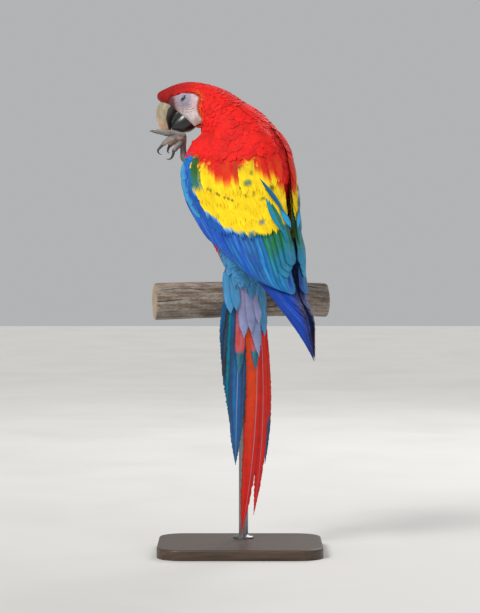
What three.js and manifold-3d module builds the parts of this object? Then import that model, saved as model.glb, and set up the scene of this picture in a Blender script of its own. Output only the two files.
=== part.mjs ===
// A life-size scarlet macaw that stands on one leg on a cut length of branch and holds its left
// foot to its bill, with the branch on a plain display stand. It is seen from behind and a little
// to its left when looking along +Y. Millimetres, +Z up, origin at the centre of the base's underside.
import * as THREE from "three";
import { mergeVertices } from "three/addons/utils/BufferGeometryUtils.js";
import Module from "manifold-3d";

const wasm = await Module();
wasm.setup();

// ---------------------------------------------------------------- driving dimensions
const GAP = 0.35; // left between pieces that meet
const BODY_TURN = 50; // how far the body faces left of +Y, in degrees
const HEAD_TURN = 80;
const TAIL_TURN = 28;
const PERCH_TURN = 10;
const PERCH_RADIUS = 30;
const PERCH_LENGTH = 300;
const PERCH_CENTRE = [2, 48, 430];
const BASE_SIZE = [280, 230, 18];
const BASE_CORNER = 45;
const ROD_RADIUS = 8;
const EYE_RADIUS = 8.6;
const EYE_AT = { ahead: -3.8, side: 24.9, up: 3.8 }; // from the head's middle section
const PRIMARIES = 10;
const SECONDARIES = 9;
const TERTIALS = 3;

// ---------------------------------------------------------------- directions and paths
const V = (x, y, z) => new THREE.Vector3(x, y, z);
const rad = THREE.MathUtils.degToRad;
const lerp = THREE.MathUtils.lerp;
const UP = V(0, 0, 1);

// Level unit vectors ahead and to the left of something that faces `turn` degrees left of +Y.
const aheadOf = (turn) => V(-Math.sin(rad(turn)), Math.cos(rad(turn)), 0);
const leftOf = (turn) => V(-Math.cos(rad(turn)), -Math.sin(rad(turn)), 0);

// A point given as [forward, left, up] of the body.
function inBody([forward, left, up]) {
  return aheadOf(BODY_TURN)
    .multiplyScalar(forward)
    .addScaledVector(leftOf(BODY_TURN), left)
    .addScaledVector(UP, up);
}

// A smooth curve through the values of `key` at the stations, read at t from 0 to 1.
function along(stations, t) {
  const last = stations.length - 1;
  const place = Math.min(Math.max(t, 0), 1) * last;
  const i = Math.min(Math.floor(place), last - 1);
  const f = place - i;
  const at = (k) => stations[Math.min(Math.max(k, 0), last)];
  return stations[0].map((_, k) => {
    const [a, b, c, d] = [at(i - 1)[k], at(i)[k], at(i + 1)[k], at(i + 2)[k]];
    return 0.5 * (2 * b + (c - a) * f + (2 * a - 5 * b + 4 * c - d) * f * f + (3 * b - a - 3 * c + d) * f ** 3);
  });
}

// ---------------------------------------------------------------- closed surfaces
function geometryOf(points, index) {
  const flat = new Float32Array(points.flatMap((p) => [p.x, p.y, p.z]));
  return new THREE.BufferGeometry().setAttribute("position", new THREE.BufferAttribute(flat, 3)).setIndex(index);
}

// A solid through rings of equally many points, closed by a fan at each end.
function loft(rings) {
  const n = rings[0].length;
  const points = rings.flat();
  const index = [];
  for (let r = 0; r + 1 < rings.length; r++)
    for (let k = 0; k < n; k++) {
      const [a, b] = [r * n + k, r * n + ((k + 1) % n)];
      index.push(a, b, b + n, a, b + n, a + n);
    }
  [rings[0], rings.at(-1)].forEach((ring, end) => {
    const centre = points.length;
    const first = end ? (rings.length - 1) * n : 0;
    points.push(ring.reduce((sum, p) => sum.add(p), V(0, 0, 0)).divideScalar(n));
    for (let k = 0; k < n; k++) {
      const [a, b] = [first + k, first + ((k + 1) % n)];
      index.push(...(end ? [a, b, centre] : [b, a, centre]));
    }
  });
  return solid(geometryOf(points, index));
}

// A thin slab between two grids of points, split into triangles alike on both faces.
function slab(top, bottom) {
  const [rows, cols] = [top.length, top[0].length];
  const points = [...top.flat(), ...bottom.flat()];
  const under = rows * cols;
  const index = [];
  for (let i = 0; i + 1 < rows; i++)
    for (let j = 0; j + 1 < cols; j++) {
      const [a, b] = [i * cols + j, i * cols + j + 1];
      for (const [p, q, r] of [[a, b, b + cols], [a, b + cols, a + cols]])
        index.push(p, q, r, q + under, p + under, r + under);
    }
  const rim = [];
  for (let j = 0; j < cols; j++) rim.push(j);
  for (let i = 1; i < rows; i++) rim.push(i * cols + cols - 1);
  for (let j = cols - 2; j >= 0; j--) rim.push((rows - 1) * cols + j);
  for (let i = rows - 2; i > 0; i--) rim.push(i * cols);
  rim.forEach((a, k) => {
    const b = rim[(k + 1) % rim.length];
    index.push(b, a, a + under, b, a + under, b + under);
  });
  return solid(geometryOf(points, index));
}

// A closed geometry as a solid with its faces pointing out.
function solid(geometry) {
  const merged = mergeVertices(geometry.index ? geometry : geometry.clone(), 1e-4);
  const make = (tris) =>
    new wasm.Manifold(
      new wasm.Mesh({ numProp: 3, vertProperties: merged.attributes.position.array, triVerts: tris }),
    );
  const tris = new Uint32Array(merged.index.array);
  const made = make(tris);
  if (made.volume() > 0) return made;
  for (let i = 0; i < tris.length; i += 3) [tris[i + 1], tris[i + 2]] = [tris[i + 2], tris[i + 1]];
  return make(tris);
}

const plain = (geometry) => {
  geometry.deleteAttribute("normal");
  geometry.deleteAttribute("uv");
  return solid(geometry);
};

const union = (solids) => solids.reduce((sum, s) => sum.add(s));

// The largest closed surface of a solid, so that no loose scrap stays.
function largest(whole) {
  return whole.decompose().reduce((a, b) => (b.volume() > a.volume() ? b : a));
}

function ball(centre, radius, detail = 10) {
  const sphere = new THREE.SphereGeometry(radius, detail, Math.round(detail * 0.7));
  return plain(sphere.translate(centre.x, centre.y, centre.z));
}

// A round tube through points, with a radius for each, and `sides` sides.
function tube(points, radii, sides = 8) {
  let side = V(0.3, 0.2, 1);
  const rings = points.map((p, i) => {
    const heading = points[Math.min(i + 1, points.length - 1)].clone().sub(points[Math.max(i - 1, 0)]).normalize();
    side = side.clone().addScaledVector(heading, -side.dot(heading)).normalize();
    const other = heading.clone().cross(side);
    return Array.from({ length: sides }, (_, k) => {
      const angle = (2 * Math.PI * k) / sides;
      return p
        .clone()
        .addScaledVector(side, radii[i] * Math.cos(angle))
        .addScaledVector(other, radii[i] * Math.sin(angle));
    });
  });
  return loft(rings);
}

// ---------------------------------------------------------------- torso, neck and head
// Cross-sections from the rump to the forehead: centre x, y, z, turn, pitch of the axis,
// then half width, back depth and front depth.
const BODY_SECTIONS = [
  [9, -8, 478, 36, 80, 33, 20, 22],
  [8, -7, 505, 40, 80, 43, 32, 36],
  [11, -9, 540, 46, 80, 53, 52, 54],
  [14, -12, 580, 49, 80, 61, 68, 68],
  [13, -11, 622, 50, 80, 66, 80, 76],
  [11, -9, 660, 50, 78, 66, 74, 76],
  [7, -6, 692, 51, 72, 60, 58, 68],
  [-8, 4, 716, 54, 61, 54, 54, 55],
  [-31, 14, 738, 62, 44, 48, 46, 43],
  [-49.6, 21, 756.8, 70, 18, 42, 37, 36],
  [-73.1, 24, 761.6, 77, 2.5, 36.5, 38.4, 38.4],
  [-93.7, 27, 767.6, 80, -6.5, 32, 32.2, 32],
  [-117.3, 31, 770.8, 80, -25, 24, 21, 20.4],
  [-131.2, 33.5, 771.2, 80, -42, 17.5, 13.3, 12.5],
  [-137.2, 34.6, 768.4, 80, -50, 9, 6, 5],
];
const STRETCHES = { torso: [0, 7], neck: [7, 9], head: [9, 14] }; // first and last section of each
const HEAD_MIDDLE = V(-93.7, 27, 767.6);

// One oval ring of a section, `swell` larger all round.
function ringOf([x, y, z, turn, pitch, side, back, front], sides, swell) {
  const [forward, left] = [aheadOf(turn), leftOf(turn)];
  const upward = forward.clone().multiplyScalar(-Math.sin(rad(pitch))).addScaledVector(UP, Math.cos(rad(pitch)));
  return Array.from({ length: sides }, (_, k) => {
    const angle = (2 * Math.PI * k) / sides;
    const depth = Math.cos(angle) > 0 ? back : front;
    return V(x, y, z)
      .addScaledVector(upward, (depth + swell) * Math.cos(angle))
      .addScaledVector(left, (side + swell) * Math.sin(angle));
  });
}

const axisOf = ([, , , turn, pitch]) =>
  aheadOf(turn).multiplyScalar(Math.cos(rad(pitch))).addScaledVector(UP, Math.sin(rad(pitch)));

// A length of the body between its first and last sections, `swell` larger all round.
// `nudge` moves the first ring along the axis, which leaves the gap to the piece below.
function fleshOf(name, steps, sides, { swell = 0, nudge = 0 } = {}) {
  const rings = [];
  const [first, last] = STRETCHES[name];
  for (let i = 0; i <= steps; i++) {
    const section = along(BODY_SECTIONS, lerp(first, last, i / steps) / (BODY_SECTIONS.length - 1));
    const ring = ringOf(section, sides, swell);
    const push = i === 0 ? nudge - swell : i === steps ? swell : 0;
    rings.push(ring.map((p) => p.addScaledVector(axisOf(section), push)));
  }
  return loft(rings);
}

// Where a point of the head lies: `ahead` and `side` of its middle section, and `up`.
const inHead = ({ ahead = 0, side = 0, up = 0 }) =>
  HEAD_MIDDLE.clone()
    .addScaledVector(aheadOf(HEAD_TURN), ahead)
    .addScaledVector(leftOf(HEAD_TURN), side)
    .addScaledVector(UP, up);

const eyeCentre = (hand) => inHead({ ...EYE_AT, side: EYE_AT.side * hand });

// The ring of bare lid round an eye: a closed band that stands a little off the face.
function eyelid(hand) {
  const lid = new THREE.TorusGeometry(EYE_RADIUS * 0.86, 1.5, 5, 12);
  lid.lookAt(leftOf(HEAD_TURN));
  const spot = eyeCentre(hand).addScaledVector(leftOf(HEAD_TURN), hand * 4.4);
  return plain(lid.translate(spot.x, spot.y, spot.z));
}

function headSolid() {
  let head = fleshOf("head", 9, 24, { nudge: GAP });
  for (const hand of [1, -1]) head = head.add(eyelid(hand)).subtract(ball(eyeCentre(hand), EYE_RADIUS + GAP));
  return largest(head);
}

// ---------------------------------------------------------------- bill
// Sections of each half of the bill in the head's upright middle plane. Each is a chord from its
// outer to its inner edge, as [ahead, up, ahead, up] of the head's middle, then its half width.
const UPPER_BILL = [
  [34, 8, 8, -12, 17],
  [44, -1, 16, -22, 17],
  [49.5, -13, 22.5, -31, 15.5],
  [50, -25, 24.5, -36.5, 13],
  [47, -38, 24.2, -42.5, 9.5],
  [39, -49, 24.6, -48.5, 6],
  [29, -54.5, 25.6, -53, 2],
];
const LOWER_BILL = [
  [6, -15, -20, -43, 14.5],
  [15, -22, -9, -51, 15.5],
  [21, -31, 4, -53, 14.5],
  [23.4, -39.5, 14.5, -51, 12],
  [23.8, -45, 20.2, -49.8, 8.5],
];

function billSolid(sections, steps, swell = 0) {
  const sides = 14;
  const rings = [];
  for (let i = 0; i <= steps; i++) {
    const [a0, u0, a1, u1, half] = along(sections, i / steps);
    const outer = inHead({ ahead: a0, up: u0 });
    const inner = inHead({ ahead: a1, up: u1 });
    const middle = outer.clone().lerp(inner, 0.5);
    const reach = outer.clone().sub(inner).multiplyScalar(0.5);
    const grow = (reach.length() + swell) / reach.length();
    rings.push(
      Array.from({ length: sides }, (_, k) => {
        const angle = (2 * Math.PI * k) / sides;
        return middle
          .clone()
          .addScaledVector(reach, grow * Math.cos(angle))
          .addScaledVector(leftOf(HEAD_TURN), (half + swell) * Math.sin(angle));
      }),
    );
  }
  return loft(rings);
}

function bills() {
  const head = fleshOf("head", 9, 24, { swell: GAP });
  let upper = billSolid(UPPER_BILL, 10).subtract(head);
  for (const hand of [1, -1]) upper = upper.subtract(ball(inHead({ ahead: 44, side: 9 * hand, up: 3 }), 2.2, 8));
  const lower = billSolid(LOWER_BILL, 6).subtract(head).subtract(billSolid(UPPER_BILL, 10, GAP + 0.25));
  return { bill_upper: largest(upper), bill_lower: largest(lower) };
}

// ---------------------------------------------------------------- wings
// The folded wing is a bent sheet between its leading edge, low on the breast, and its trailing
// edge, by the middle of the back, from the shoulder to the tip: forward, left, up of the body.
const LEADING_EDGE = [
  [44, 50, 716],
  [58, 68, 684],
  [63, 75, 650],
  [54, 76, 604],
  [20, 71, 556],
  [-14, 63, 513],
  [-46, 54, 479],
  [-88, 44, 437],
  [-115, 34, 400],
  [-143, 25, 364],
  [-168, 18, 327],
];
const TRAILING_EDGE = [
  [-56, 16, 730],
  [-82, 12, 700],
  [-98, 9, 660],
  [-105, 7, 612],
  [-111, 6, 558],
  [-117, 6, 514],
  [-121, 6, 474],
  [-132, 7, 438],
  [-159, 9, 402],
  [-171, 11, 366],
  [-178, 12, 330],
];
// How far the tip of the right wing lies nearer to its root and to the middle of the back.
const TUCKED = [8, 8];

// A point of the left wing's sheet: v runs from the shoulder to the tip, and c from the leading
// to the trailing edge, along a cubic arc that bulges out over the flank. The tip is drawn in by
// `tuck` of the amounts above, growing down the blade.
function onWing(v, c, tuck = 0) {
  const [lead, trail] = [along(LEADING_EDGE, v), along(TRAILING_EDGE, v)];
  const mix = (k, share) => lerp(lead[k], trail[k], share);
  const near = [mix(0, 0.36), lead[1] * 1.1, mix(2, 0.33)];
  const far = [mix(0, 0.96), lerp(trail[1], lead[1], 0.85), mix(2, 0.8)];
  const d = 1 - c;
  const p = [0, 1, 2].map((k) => d ** 3 * lead[k] + 3 * d * d * c * near[k] + 3 * d * c * c * far[k] + c ** 3 * trail[k]);
  const drawn = tuck * THREE.MathUtils.smoothstep(-p[2], -470, -330);
  return inBody([p[0] + TUCKED[0] * drawn, p[1] - TUCKED[1] * drawn, p[2]]);
}

// The sheet's outward normal, and its stretch across per unit of c.
function wingFrame(v, c, tuck = 0) {
  const step = 0.004;
  const across = onWing(v, c + step, tuck).sub(onWing(v, c - step, tuck)).divideScalar(2 * step);
  const down = onWing(Math.min(v + step, 1), c, tuck).sub(onWing(Math.min(v + step, 1) - 2 * step, c, tuck));
  return { normal: down.cross(across).normalize(), stretch: across.length() };
}

// How wide a feather is along its length, as a share of its full half width.
const FEATHER_SHAPE = [
  [0, 0.6],
  [0.35, 0.95],
  [0.75, 0.95],
  [0.92, 0.64],
  [1, 0.16],
];
const SHORT_SHAPE = [
  [0, 0.6],
  [0.5, 0.98],
  [0.82, 0.84],
  [1, 0.2],
];

// One feather on the wing's sheet from root [v, c] to tip [v, c], with its half width. It climbs from
// `level` at its root to `tipLevel` by `rise` of its length, and its leading side is `lift` higher.
function wingFeather({ root, tip, half, level, tipLevel = level, lift = 0, rise = 0.6, thick = 0.7, shape, tuck = 0 }) {
  const top = [];
  const bottom = [];
  for (const [t, share] of shape ?? FEATHER_SHAPE) {
    const [v, c] = [lerp(root[0], tip[0], t), lerp(root[1], tip[1], t)];
    const { normal, stretch } = wingFrame(v, c, tuck);
    const spread = (half * share) / stretch;
    const height = lerp(level, tipLevel, Math.min(1, t / rise));
    const edges = [-1, 1].map((s) =>
      onWing(v, c + s * spread, tuck).addScaledVector(normal, height + (lift * (1 - s * share)) / 2),
    );
    top.push(edges);
    bottom.push(edges.map((p) => p.clone().addScaledVector(normal, -thick)));
  }
  return slab(top, bottom);
}

// The wing's own flesh and small feathers: a sheet that is thick at the shoulder.
function wingCore() {
  const [rows, cols] = [8, 6];
  const top = [];
  const bottom = [];
  for (let i = 0; i <= rows; i++) {
    const v = lerp(0.012, 0.53, i / rows);
    const line = [];
    const inner = [];
    for (let j = 0; j <= cols; j++) {
      const c = lerp(0.02, 0.985, j / cols);
      const { normal } = wingFrame(v, c);
      const edge = Math.sin(Math.PI * Math.min(Math.max(j / cols, 0.06), 0.94)) ** 0.5;
      const end = i === 0 ? 0.35 : i === rows ? 0.55 : 1;
      line.push(onWing(v, c).addScaledVector(normal, -1.6 * (1 - edge * end)));
      inner.push(onWing(v, c).addScaledVector(normal, -2.5 - lerp(10, 9, i / rows) * edge * end));
    }
    top.push(line);
    bottom.push(inner);
  }
  return slab(top, bottom);
}

function wingFeathers(tuck) {
  const feathers = [];
  const row = (count, make) => {
    for (let i = 0; i < count; i++) feathers.push(wingFeather({ ...make(i / (count - 1)), tuck }));
  };
  // In each row s runs from the outermost feather, at the leading edge, to the innermost.
  row(PRIMARIES, (s) => ({
    root: [0.43, lerp(0.12, 0.5, s)],
    tip: [s === 0 ? 0.97 : lerp(1, 0.76, s ** 1.3), lerp(0.45, 0.92, s ** 0.6)],
    half: lerp(11, 15, s),
    level: lerp(-9.6, -1.2, s),
    thick: 0.6,
  }));
  row(SECONDARIES, (s) => ({
    root: [0.37, lerp(0.28, 0.8, s)],
    tip: [lerp(0.61, 0.69, s ** 0.6), lerp(0.27, 0.84, s)],
    half: 14,
    level: -6,
    tipLevel: 0.2,
    lift: 4.6,
    thick: 0.65,
  }));
  row(TERTIALS, (s) => ({
    root: [0.35, lerp(0.82, 0.9, s)],
    tip: [lerp(0.67, 0.58, s), lerp(0.86, 0.93, s)],
    half: 14,
    level: -5.5,
    tipLevel: lerp(1.9, 4.6, s),
    lift: 3,
    thick: 0.8,
    shape: SHORT_SHAPE,
  }));
  row(8, (s) => ({
    root: [0.27, lerp(0.24, 0.88, s)],
    tip: [lerp(0.42, 0.47, Math.sin(Math.PI * s)), lerp(0.24, 0.88, s)],
    half: 15,
    level: -5,
    tipLevel: 3.3 + 3 * s ** 3,
    lift: 3.2,
    rise: 0.85,
    thick: 1,
    shape: SHORT_SHAPE,
  }));
  row(7, (s) => ({
    root: [0.16, lerp(0.16, 0.88, s)],
    tip: [lerp(0.29, 0.34, Math.sin(Math.PI * s)), lerp(0.16, 0.88, s)],
    half: 16,
    level: -4.8,
    tipLevel: 3.6,
    lift: 3.2,
    rise: 0.85,
    thick: 1,
    shape: SHORT_SHAPE,
  }));
  row(3, (s) => ({
    root: [lerp(0.27, 0.32, s), lerp(0.07, 0.17, s)],
    tip: [lerp(0.5, 0.57, s), lerp(0.06, 0.17, s)],
    half: 9.5,
    level: -4.5,
    tipLevel: 1.2,
    lift: 3,
    shape: SHORT_SHAPE,
  }));
  row(3, (s) => ({
    root: [lerp(0.17, 0.14, s), 0.05],
    tip: [lerp(0.36, 0.26, s), 0.03],
    half: 9,
    level: -3.4,
    tipLevel: lerp(1.4, 3.6, s),
    lift: 0.6,
    shape: SHORT_SHAPE,
  }));
  return feathers;
}

// Reflects a solid in the body's upright middle plane.
function mirrored(whole) {
  return whole.mirror(leftOf(BODY_TURN).toArray());
}

function wings(flesh) {
  const wing = (tuck) => union([wingCore(), ...wingFeathers(tuck)]);
  return {
    wing_left: largest(wing(0).subtract(flesh)),
    wing_right: largest(mirrored(wing(1)).subtract(flesh)),
  };
}

// ---------------------------------------------------------------- tail
const TAIL_ROOT = V(8, -11, 496);
// The twelve long feathers from the top one down: how far each reaches, its half width, and how far
// to the left its shaft lies at its root, its middle and its tip.
const TAIL_FEATHERS = [
  [462, 16.5, -10, -17, 3],
  [432, 15, -18, -38, -21],
  [345, 15.5, 6, 12, 14],
  [347, 12, -16, -37, -37],
  [303, 15.5, 8, 17, 17],
  [300, 13, -14, -36, -35],
  [258, 15, 10, 23, 22],
  [254, 13.5, -12, -33, -32],
  [214, 14.5, 12, 26, 25],
  [210, 13.5, -10, -30, -29],
  [176, 14, 14, 28, 27],
  [172, 13.5, -8, -27, -26],
];
const TAIL_LEAN = V(-0.012, -0.006, -1).normalize();
const TAIL_ARCH = 150; // radius of the roof-like bend across the tail

// A point of the tail: `down` from its root, `out` to the left, `level` towards its upper face.
function onTail(down, out, level) {
  return TAIL_ROOT.clone()
    .addScaledVector(TAIL_LEAN, down)
    .addScaledVector(leftOf(TAIL_TURN), out)
    .addScaledVector(aheadOf(TAIL_TURN), -(level - (out * out) / (2 * TAIL_ARCH)));
}

function tailFeather({ from, to, out, half, level, thick = 0.65, columns = [-1, 0, 1], shape = FEATHER_SHAPE }) {
  const top = [];
  const bottom = [];
  for (const [t, share] of shape) {
    const down = lerp(from, to, t);
    const middle = along(out.map((o) => [o]), t)[0];
    const height = Array.isArray(level) ? lerp(level[0], level[1], t) : level;
    top.push(columns.map((s) => onTail(down, middle + s * half * share, height)));
    bottom.push(columns.map((s) => onTail(down, middle + s * half * share, height - thick)));
  }
  return slab(top, bottom);
}

function tailSolid(flesh) {
  const pieces = [];
  const core = [0, 0.3, 0.65, 1].map((t) =>
    Array.from({ length: 16 }, (_, k) => {
      const angle = (2 * Math.PI * k) / 16;
      const [half, thick] = [lerp(37, 29, t), lerp(15, 8, t)];
      return onTail(lerp(0, 92, t), half * Math.cos(angle), thick * Math.sin(angle) + 1);
    }),
  );
  pieces.push(loft(core));
  TAIL_FEATHERS.forEach(([to, half, ...out], order) => {
    pieces.push(tailFeather({ from: 30, to, out, half, level: 5.2 - 1.02 * order }));
  });
  const shape = SHORT_SHAPE;
  for (const [count, from, to, level, spread] of [[4, 34, 150, 7.4, 22], [5, 18, 112, 9.6, 28], [5, 6, 74, 12, 31]])
    for (let i = 0; i < count; i++) {
      const out = lerp(-spread, spread, i / (count - 1)) - 4;
      const reach = to - 26 * Math.abs((out + 8) / spread) ** 2;
      pieces.push(
        tailFeather({ from, to: reach, out: [out * 0.8, out], half: 14, level: [level - 2.5, level], thick: 1.4, columns: [-1, 1], shape }),
      );
    }
  for (let i = 0; i < 5; i++) {
    const out = lerp(-24, 24, i / 4);
    pieces.push(
      tailFeather({ from: 20, to: 128 - Math.abs(out), out: [out * 0.7, out], half: 13, level: [-8, -9.5], thick: 1.4, columns: [-1, 1], shape }),
    );
  }
  return largest(union(pieces).subtract(flesh));
}

// ---------------------------------------------------------------- legs and feet
const LEGS = {
  right: {
    thigh: [[11, 4, 552], [7, 14, 528], [4, 26, 510], [1, 38, 490], [1, 42, 481]],
    thighRadii: [28, 30, 27, 18, 12],
    shank: [[1, 43, 484], [1, 46, 475], [2, 48.5, 466]],
    shankRadii: [6.5, 6.2, 7.4],
  },
  left: {
    thigh: [[-14, -8, 536], [-30, 0, 566], [-48, 8, 600], [-68, 16, 638], [-82, 20, 660], [-88, 20.5, 668]],
    thighRadii: [26, 30, 27, 20, 12.5, 9],
    shank: [[-91, 20.5, 669], [-95, 20.5, 672], [-96.5, 20.5, 680], [-97, 20, 692], [-97, 19.5, 702], [-98, 19, 708]],
    shankRadii: [6.6, 6.4, 5.2, 5, 5.8, 6.4],
  },
};
// Toes of the raised foot, from the ball of the foot to where the claw starts, then the claw's points.
const RAISED_TOES = [
  { path: [[-98, 19, 708], [-110, 18, 711.5], [-124, 16.5, 713.5], [-138, 17, 716], [-143, 17.5, 716]], claw: [[-147, 18, 716.5], [-151, 18, 717.5], [-154, 18, 716]] },
  { path: [[-98, 17, 706], [-108, 11, 706], [-119, 8, 703], [-127, 8, 698], [-131, 9, 694]], claw: [[-135, 9, 690], [-139.5, 9, 684], [-137.5, 9, 679], [-132.5, 9, 677]] },
  { path: [[-98, 21, 704], [-107, 26, 702], [-116, 24, 697], [-120, 20, 692]], claw: [[-122, 18, 688], [-123, 16, 682], [-119.5, 15, 679]] },
  { path: [[-97.5, 20, 702], [-101, 14, 697], [-107, 10, 690], [-113, 9, 683]], claw: [[-113.5, 9, 678], [-116.5, 9, 671.5], [-121, 9, 669], [-125.5, 9, 670]] },
];

const points = (list) => list.map((p) => V(...p));

// A thicker path through the same points, with `count` points in all.
function smoothPath(list, count) {
  return new THREE.CatmullRomCurve3(points(list), false, "centripetal").getPoints(count - 1);
}

// A toe along a path, `swell` larger all round, with a bulge at each pad.
function toeSolid(path, swell = 0) {
  const steps = 7;
  const spots = smoothPath(path, steps);
  const radii = spots.map((_, i) => lerp(5.6, 4.1, i / (steps - 1)) + 0.45 * Math.cos(i * 2.1) + swell);
  const last = spots.at(-1);
  last.addScaledVector(last.clone().sub(spots.at(-2)).normalize(), swell);
  return tube(spots, radii, 7);
}

// A claw that grows out of the end of a toe and curves to a point.
function clawSolid(toePath, claw) {
  const spots = smoothPath([toePath.at(-1), ...claw], 7);
  return tube(spots, [3.4, 3.2, 2.8, 2.3, 1.8, 1.2, 0.45], 6).subtract(toeSolid(toePath, GAP));
}

// The perch as a slightly bent and uneven length of branch, `swell` larger all round.
function perchSolid(swell = 0) {
  const [steps, sides] = [9, 18];
  const rings = [];
  for (let i = 0; i <= steps; i++) {
    const t = i / steps;
    const x = lerp(-PERCH_LENGTH / 2, PERCH_LENGTH / 2, t);
    rings.push(
      Array.from({ length: sides }, (_, k) => {
        const angle = (2 * Math.PI * k) / sides;
        const wave = 0.5 * Math.sin(3 * angle + 4 * t) + 0.4 * Math.sin(5 * angle - 7 * t);
        const knot = 3 * Math.exp(-(((x - 98) / 22) ** 2) - ((angle - 0.6) / 0.7) ** 2);
        const taper = lerp(1.5, -1.5, t);
        const radius = PERCH_RADIUS + taper + wave + knot + swell;
        const bend = 3 * Math.sin(Math.PI * t);
        return V(x, radius * Math.cos(angle), bend - 3 + radius * Math.sin(angle));
      }),
    );
  }
  return loft(rings.map((ring) => ring.map((p) => p.applyAxisAngle(UP, rad(PERCH_TURN)).add(V(...PERCH_CENTRE)))));
}

// A gripping toe's path round the perch: `along` the branch, over `from` to `to` degrees from the
// top, towards +Y for positive angles.
function grip(offset, spread, to, reach) {
  const list = [];
  for (let i = 0; i <= 5; i++) {
    const t = i / 5;
    const angle = rad(lerp(4 * Math.sign(to), to, t));
    const radius = PERCH_RADIUS + reach;
    const p = V(offset + spread * t, radius * Math.sin(angle), radius * Math.cos(angle));
    list.push(p.applyAxisAngle(UP, rad(PERCH_TURN)).add(V(...PERCH_CENTRE)).toArray());
  }
  return list;
}
const STANDING_TOES = [
  { offset: 3, spread: 15, to: 88 },
  { offset: -4, spread: -13, to: 74 },
  { offset: 4, spread: 11, to: -62 },
  { offset: -4, spread: -10, to: -50 },
];

function legs(flesh) {
  const perch = perchSolid(GAP);
  const made = {};
  for (const [side, leg] of Object.entries(LEGS)) {
    const thigh = tube(points(leg.thigh), leg.thighRadii, 16);
    const wide = tube(points(leg.thigh), leg.thighRadii.map((r) => r + GAP), 16);
    const foot = [tube(points(leg.shank), leg.shankRadii, 10)];
    const toes =
      side === "left"
        ? RAISED_TOES
        : STANDING_TOES.map(({ offset, spread, to }) => {
            const path = grip(offset, spread, to, 5.2);
            const claw = [6, 15, 25].map((turn, k) => {
              const angle = rad(to + Math.sign(to) * turn);
              const radius = PERCH_RADIUS + [6.6, 6, 4.2][k];
              const p = V(offset + spread, radius * Math.sin(angle), radius * Math.cos(angle));
              return p.applyAxisAngle(UP, rad(PERCH_TURN)).add(V(...PERCH_CENTRE)).toArray();
            });
            return { path, claw };
          });
    toes.forEach(({ path, claw }, i) => {
      foot.push(toeSolid(path));
      made[`claw_${side}_${i + 1}`] = largest(clawSolid(path, claw).subtract(perch));
    });
    foot.push(ball(V(...leg.shank.at(-1)), 7.6, 10));
    made[`thigh_${side}`] = largest(thigh.subtract(flesh));
    made[`foot_${side}`] = largest(union(foot).subtract(wide).subtract(perch));
  }
  return made;
}

// ---------------------------------------------------------------- stand
function standBase() {
  const [w, d, h] = BASE_SIZE;
  const outline = new THREE.Shape();
  const [x, y, r] = [w / 2, d / 2, BASE_CORNER];
  outline.moveTo(-x + r, -y).lineTo(x - r, -y).absarc(x - r, -y + r, r, -Math.PI / 2, 0);
  outline.lineTo(x, y - r).absarc(x - r, y - r, r, 0, Math.PI / 2);
  outline.lineTo(-x + r, y).absarc(-x + r, y - r, r, Math.PI / 2, Math.PI);
  outline.lineTo(-x, -y + r).absarc(-x + r, -y + r, r, Math.PI, 1.5 * Math.PI);
  const rings = [
    [0, 0],
    [0, h - 3],
    [3, h],
  ].map(([inset, z]) =>
    outline
      .getPoints(4)
      .slice(0, -1)
      .map((p) => V(p.x * (1 - inset / x), p.y * (1 - inset / y), z)),
  );
  return loft(rings);
}

function standRod() {
  const [x, y] = [PERCH_CENTRE[0] + 4, PERCH_CENTRE[1]];
  const [low, high] = [BASE_SIZE[2] + GAP, PERCH_CENTRE[2] - PERCH_RADIUS / 2];
  const rod = new THREE.CylinderGeometry(ROD_RADIUS, ROD_RADIUS, high - low, 24);
  rod.rotateX(Math.PI / 2).translate(x, y, (low + high) / 2);
  return largest(plain(rod).subtract(perchSolid(GAP)));
}

// ---------------------------------------------------------------- colours
const COLOURS = {
  scarlet: { color: 0xc8101c, roughness: 0.7 },
  wing: { color: 0xf0b400, roughness: 0.6 },
  tail: { color: 0xb8241c, roughness: 0.6 },
  horn: { color: 0xcdbfa5, roughness: 0.4 },
  black: { color: 0x1b1a1a, roughness: 0.35 },
  eye: { color: 0xd8cfa0, roughness: 0.1 },
  foot: { color: 0x6f6a68, roughness: 0.6 },
  claw: { color: 0x2b2826, roughness: 0.35 },
  wood: { color: 0x8a7660, roughness: 0.9 },
  steel: { color: 0x55585c, roughness: 0.35, metalness: 0.9 },
  plinth: { color: 0x2e2620, roughness: 0.5 },
};

const model = new THREE.Group();

function add(name, whole, look) {
  const mesh = whole.getMesh();
  const flat = new Float32Array(mesh.numVert * 3);
  for (let i = 0; i < mesh.numVert; i++) flat.set(mesh.vertProperties.subarray(i * mesh.numProp, i * mesh.numProp + 3), i * 3);
  const geometry = new THREE.BufferGeometry().setAttribute("position", new THREE.BufferAttribute(flat, 3));
  geometry.setIndex(new THREE.BufferAttribute(new Uint32Array(mesh.triVerts), 1));
  geometry.computeVertexNormals();
  const piece = new THREE.Mesh(geometry, new THREE.MeshStandardMaterial(COLOURS[look]));
  piece.name = name;
  model.add(piece);
}

const wideFlesh = union([
  fleshOf("torso", 12, 28, { swell: GAP }),
  fleshOf("neck", 4, 28, { swell: GAP }),
]);

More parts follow.
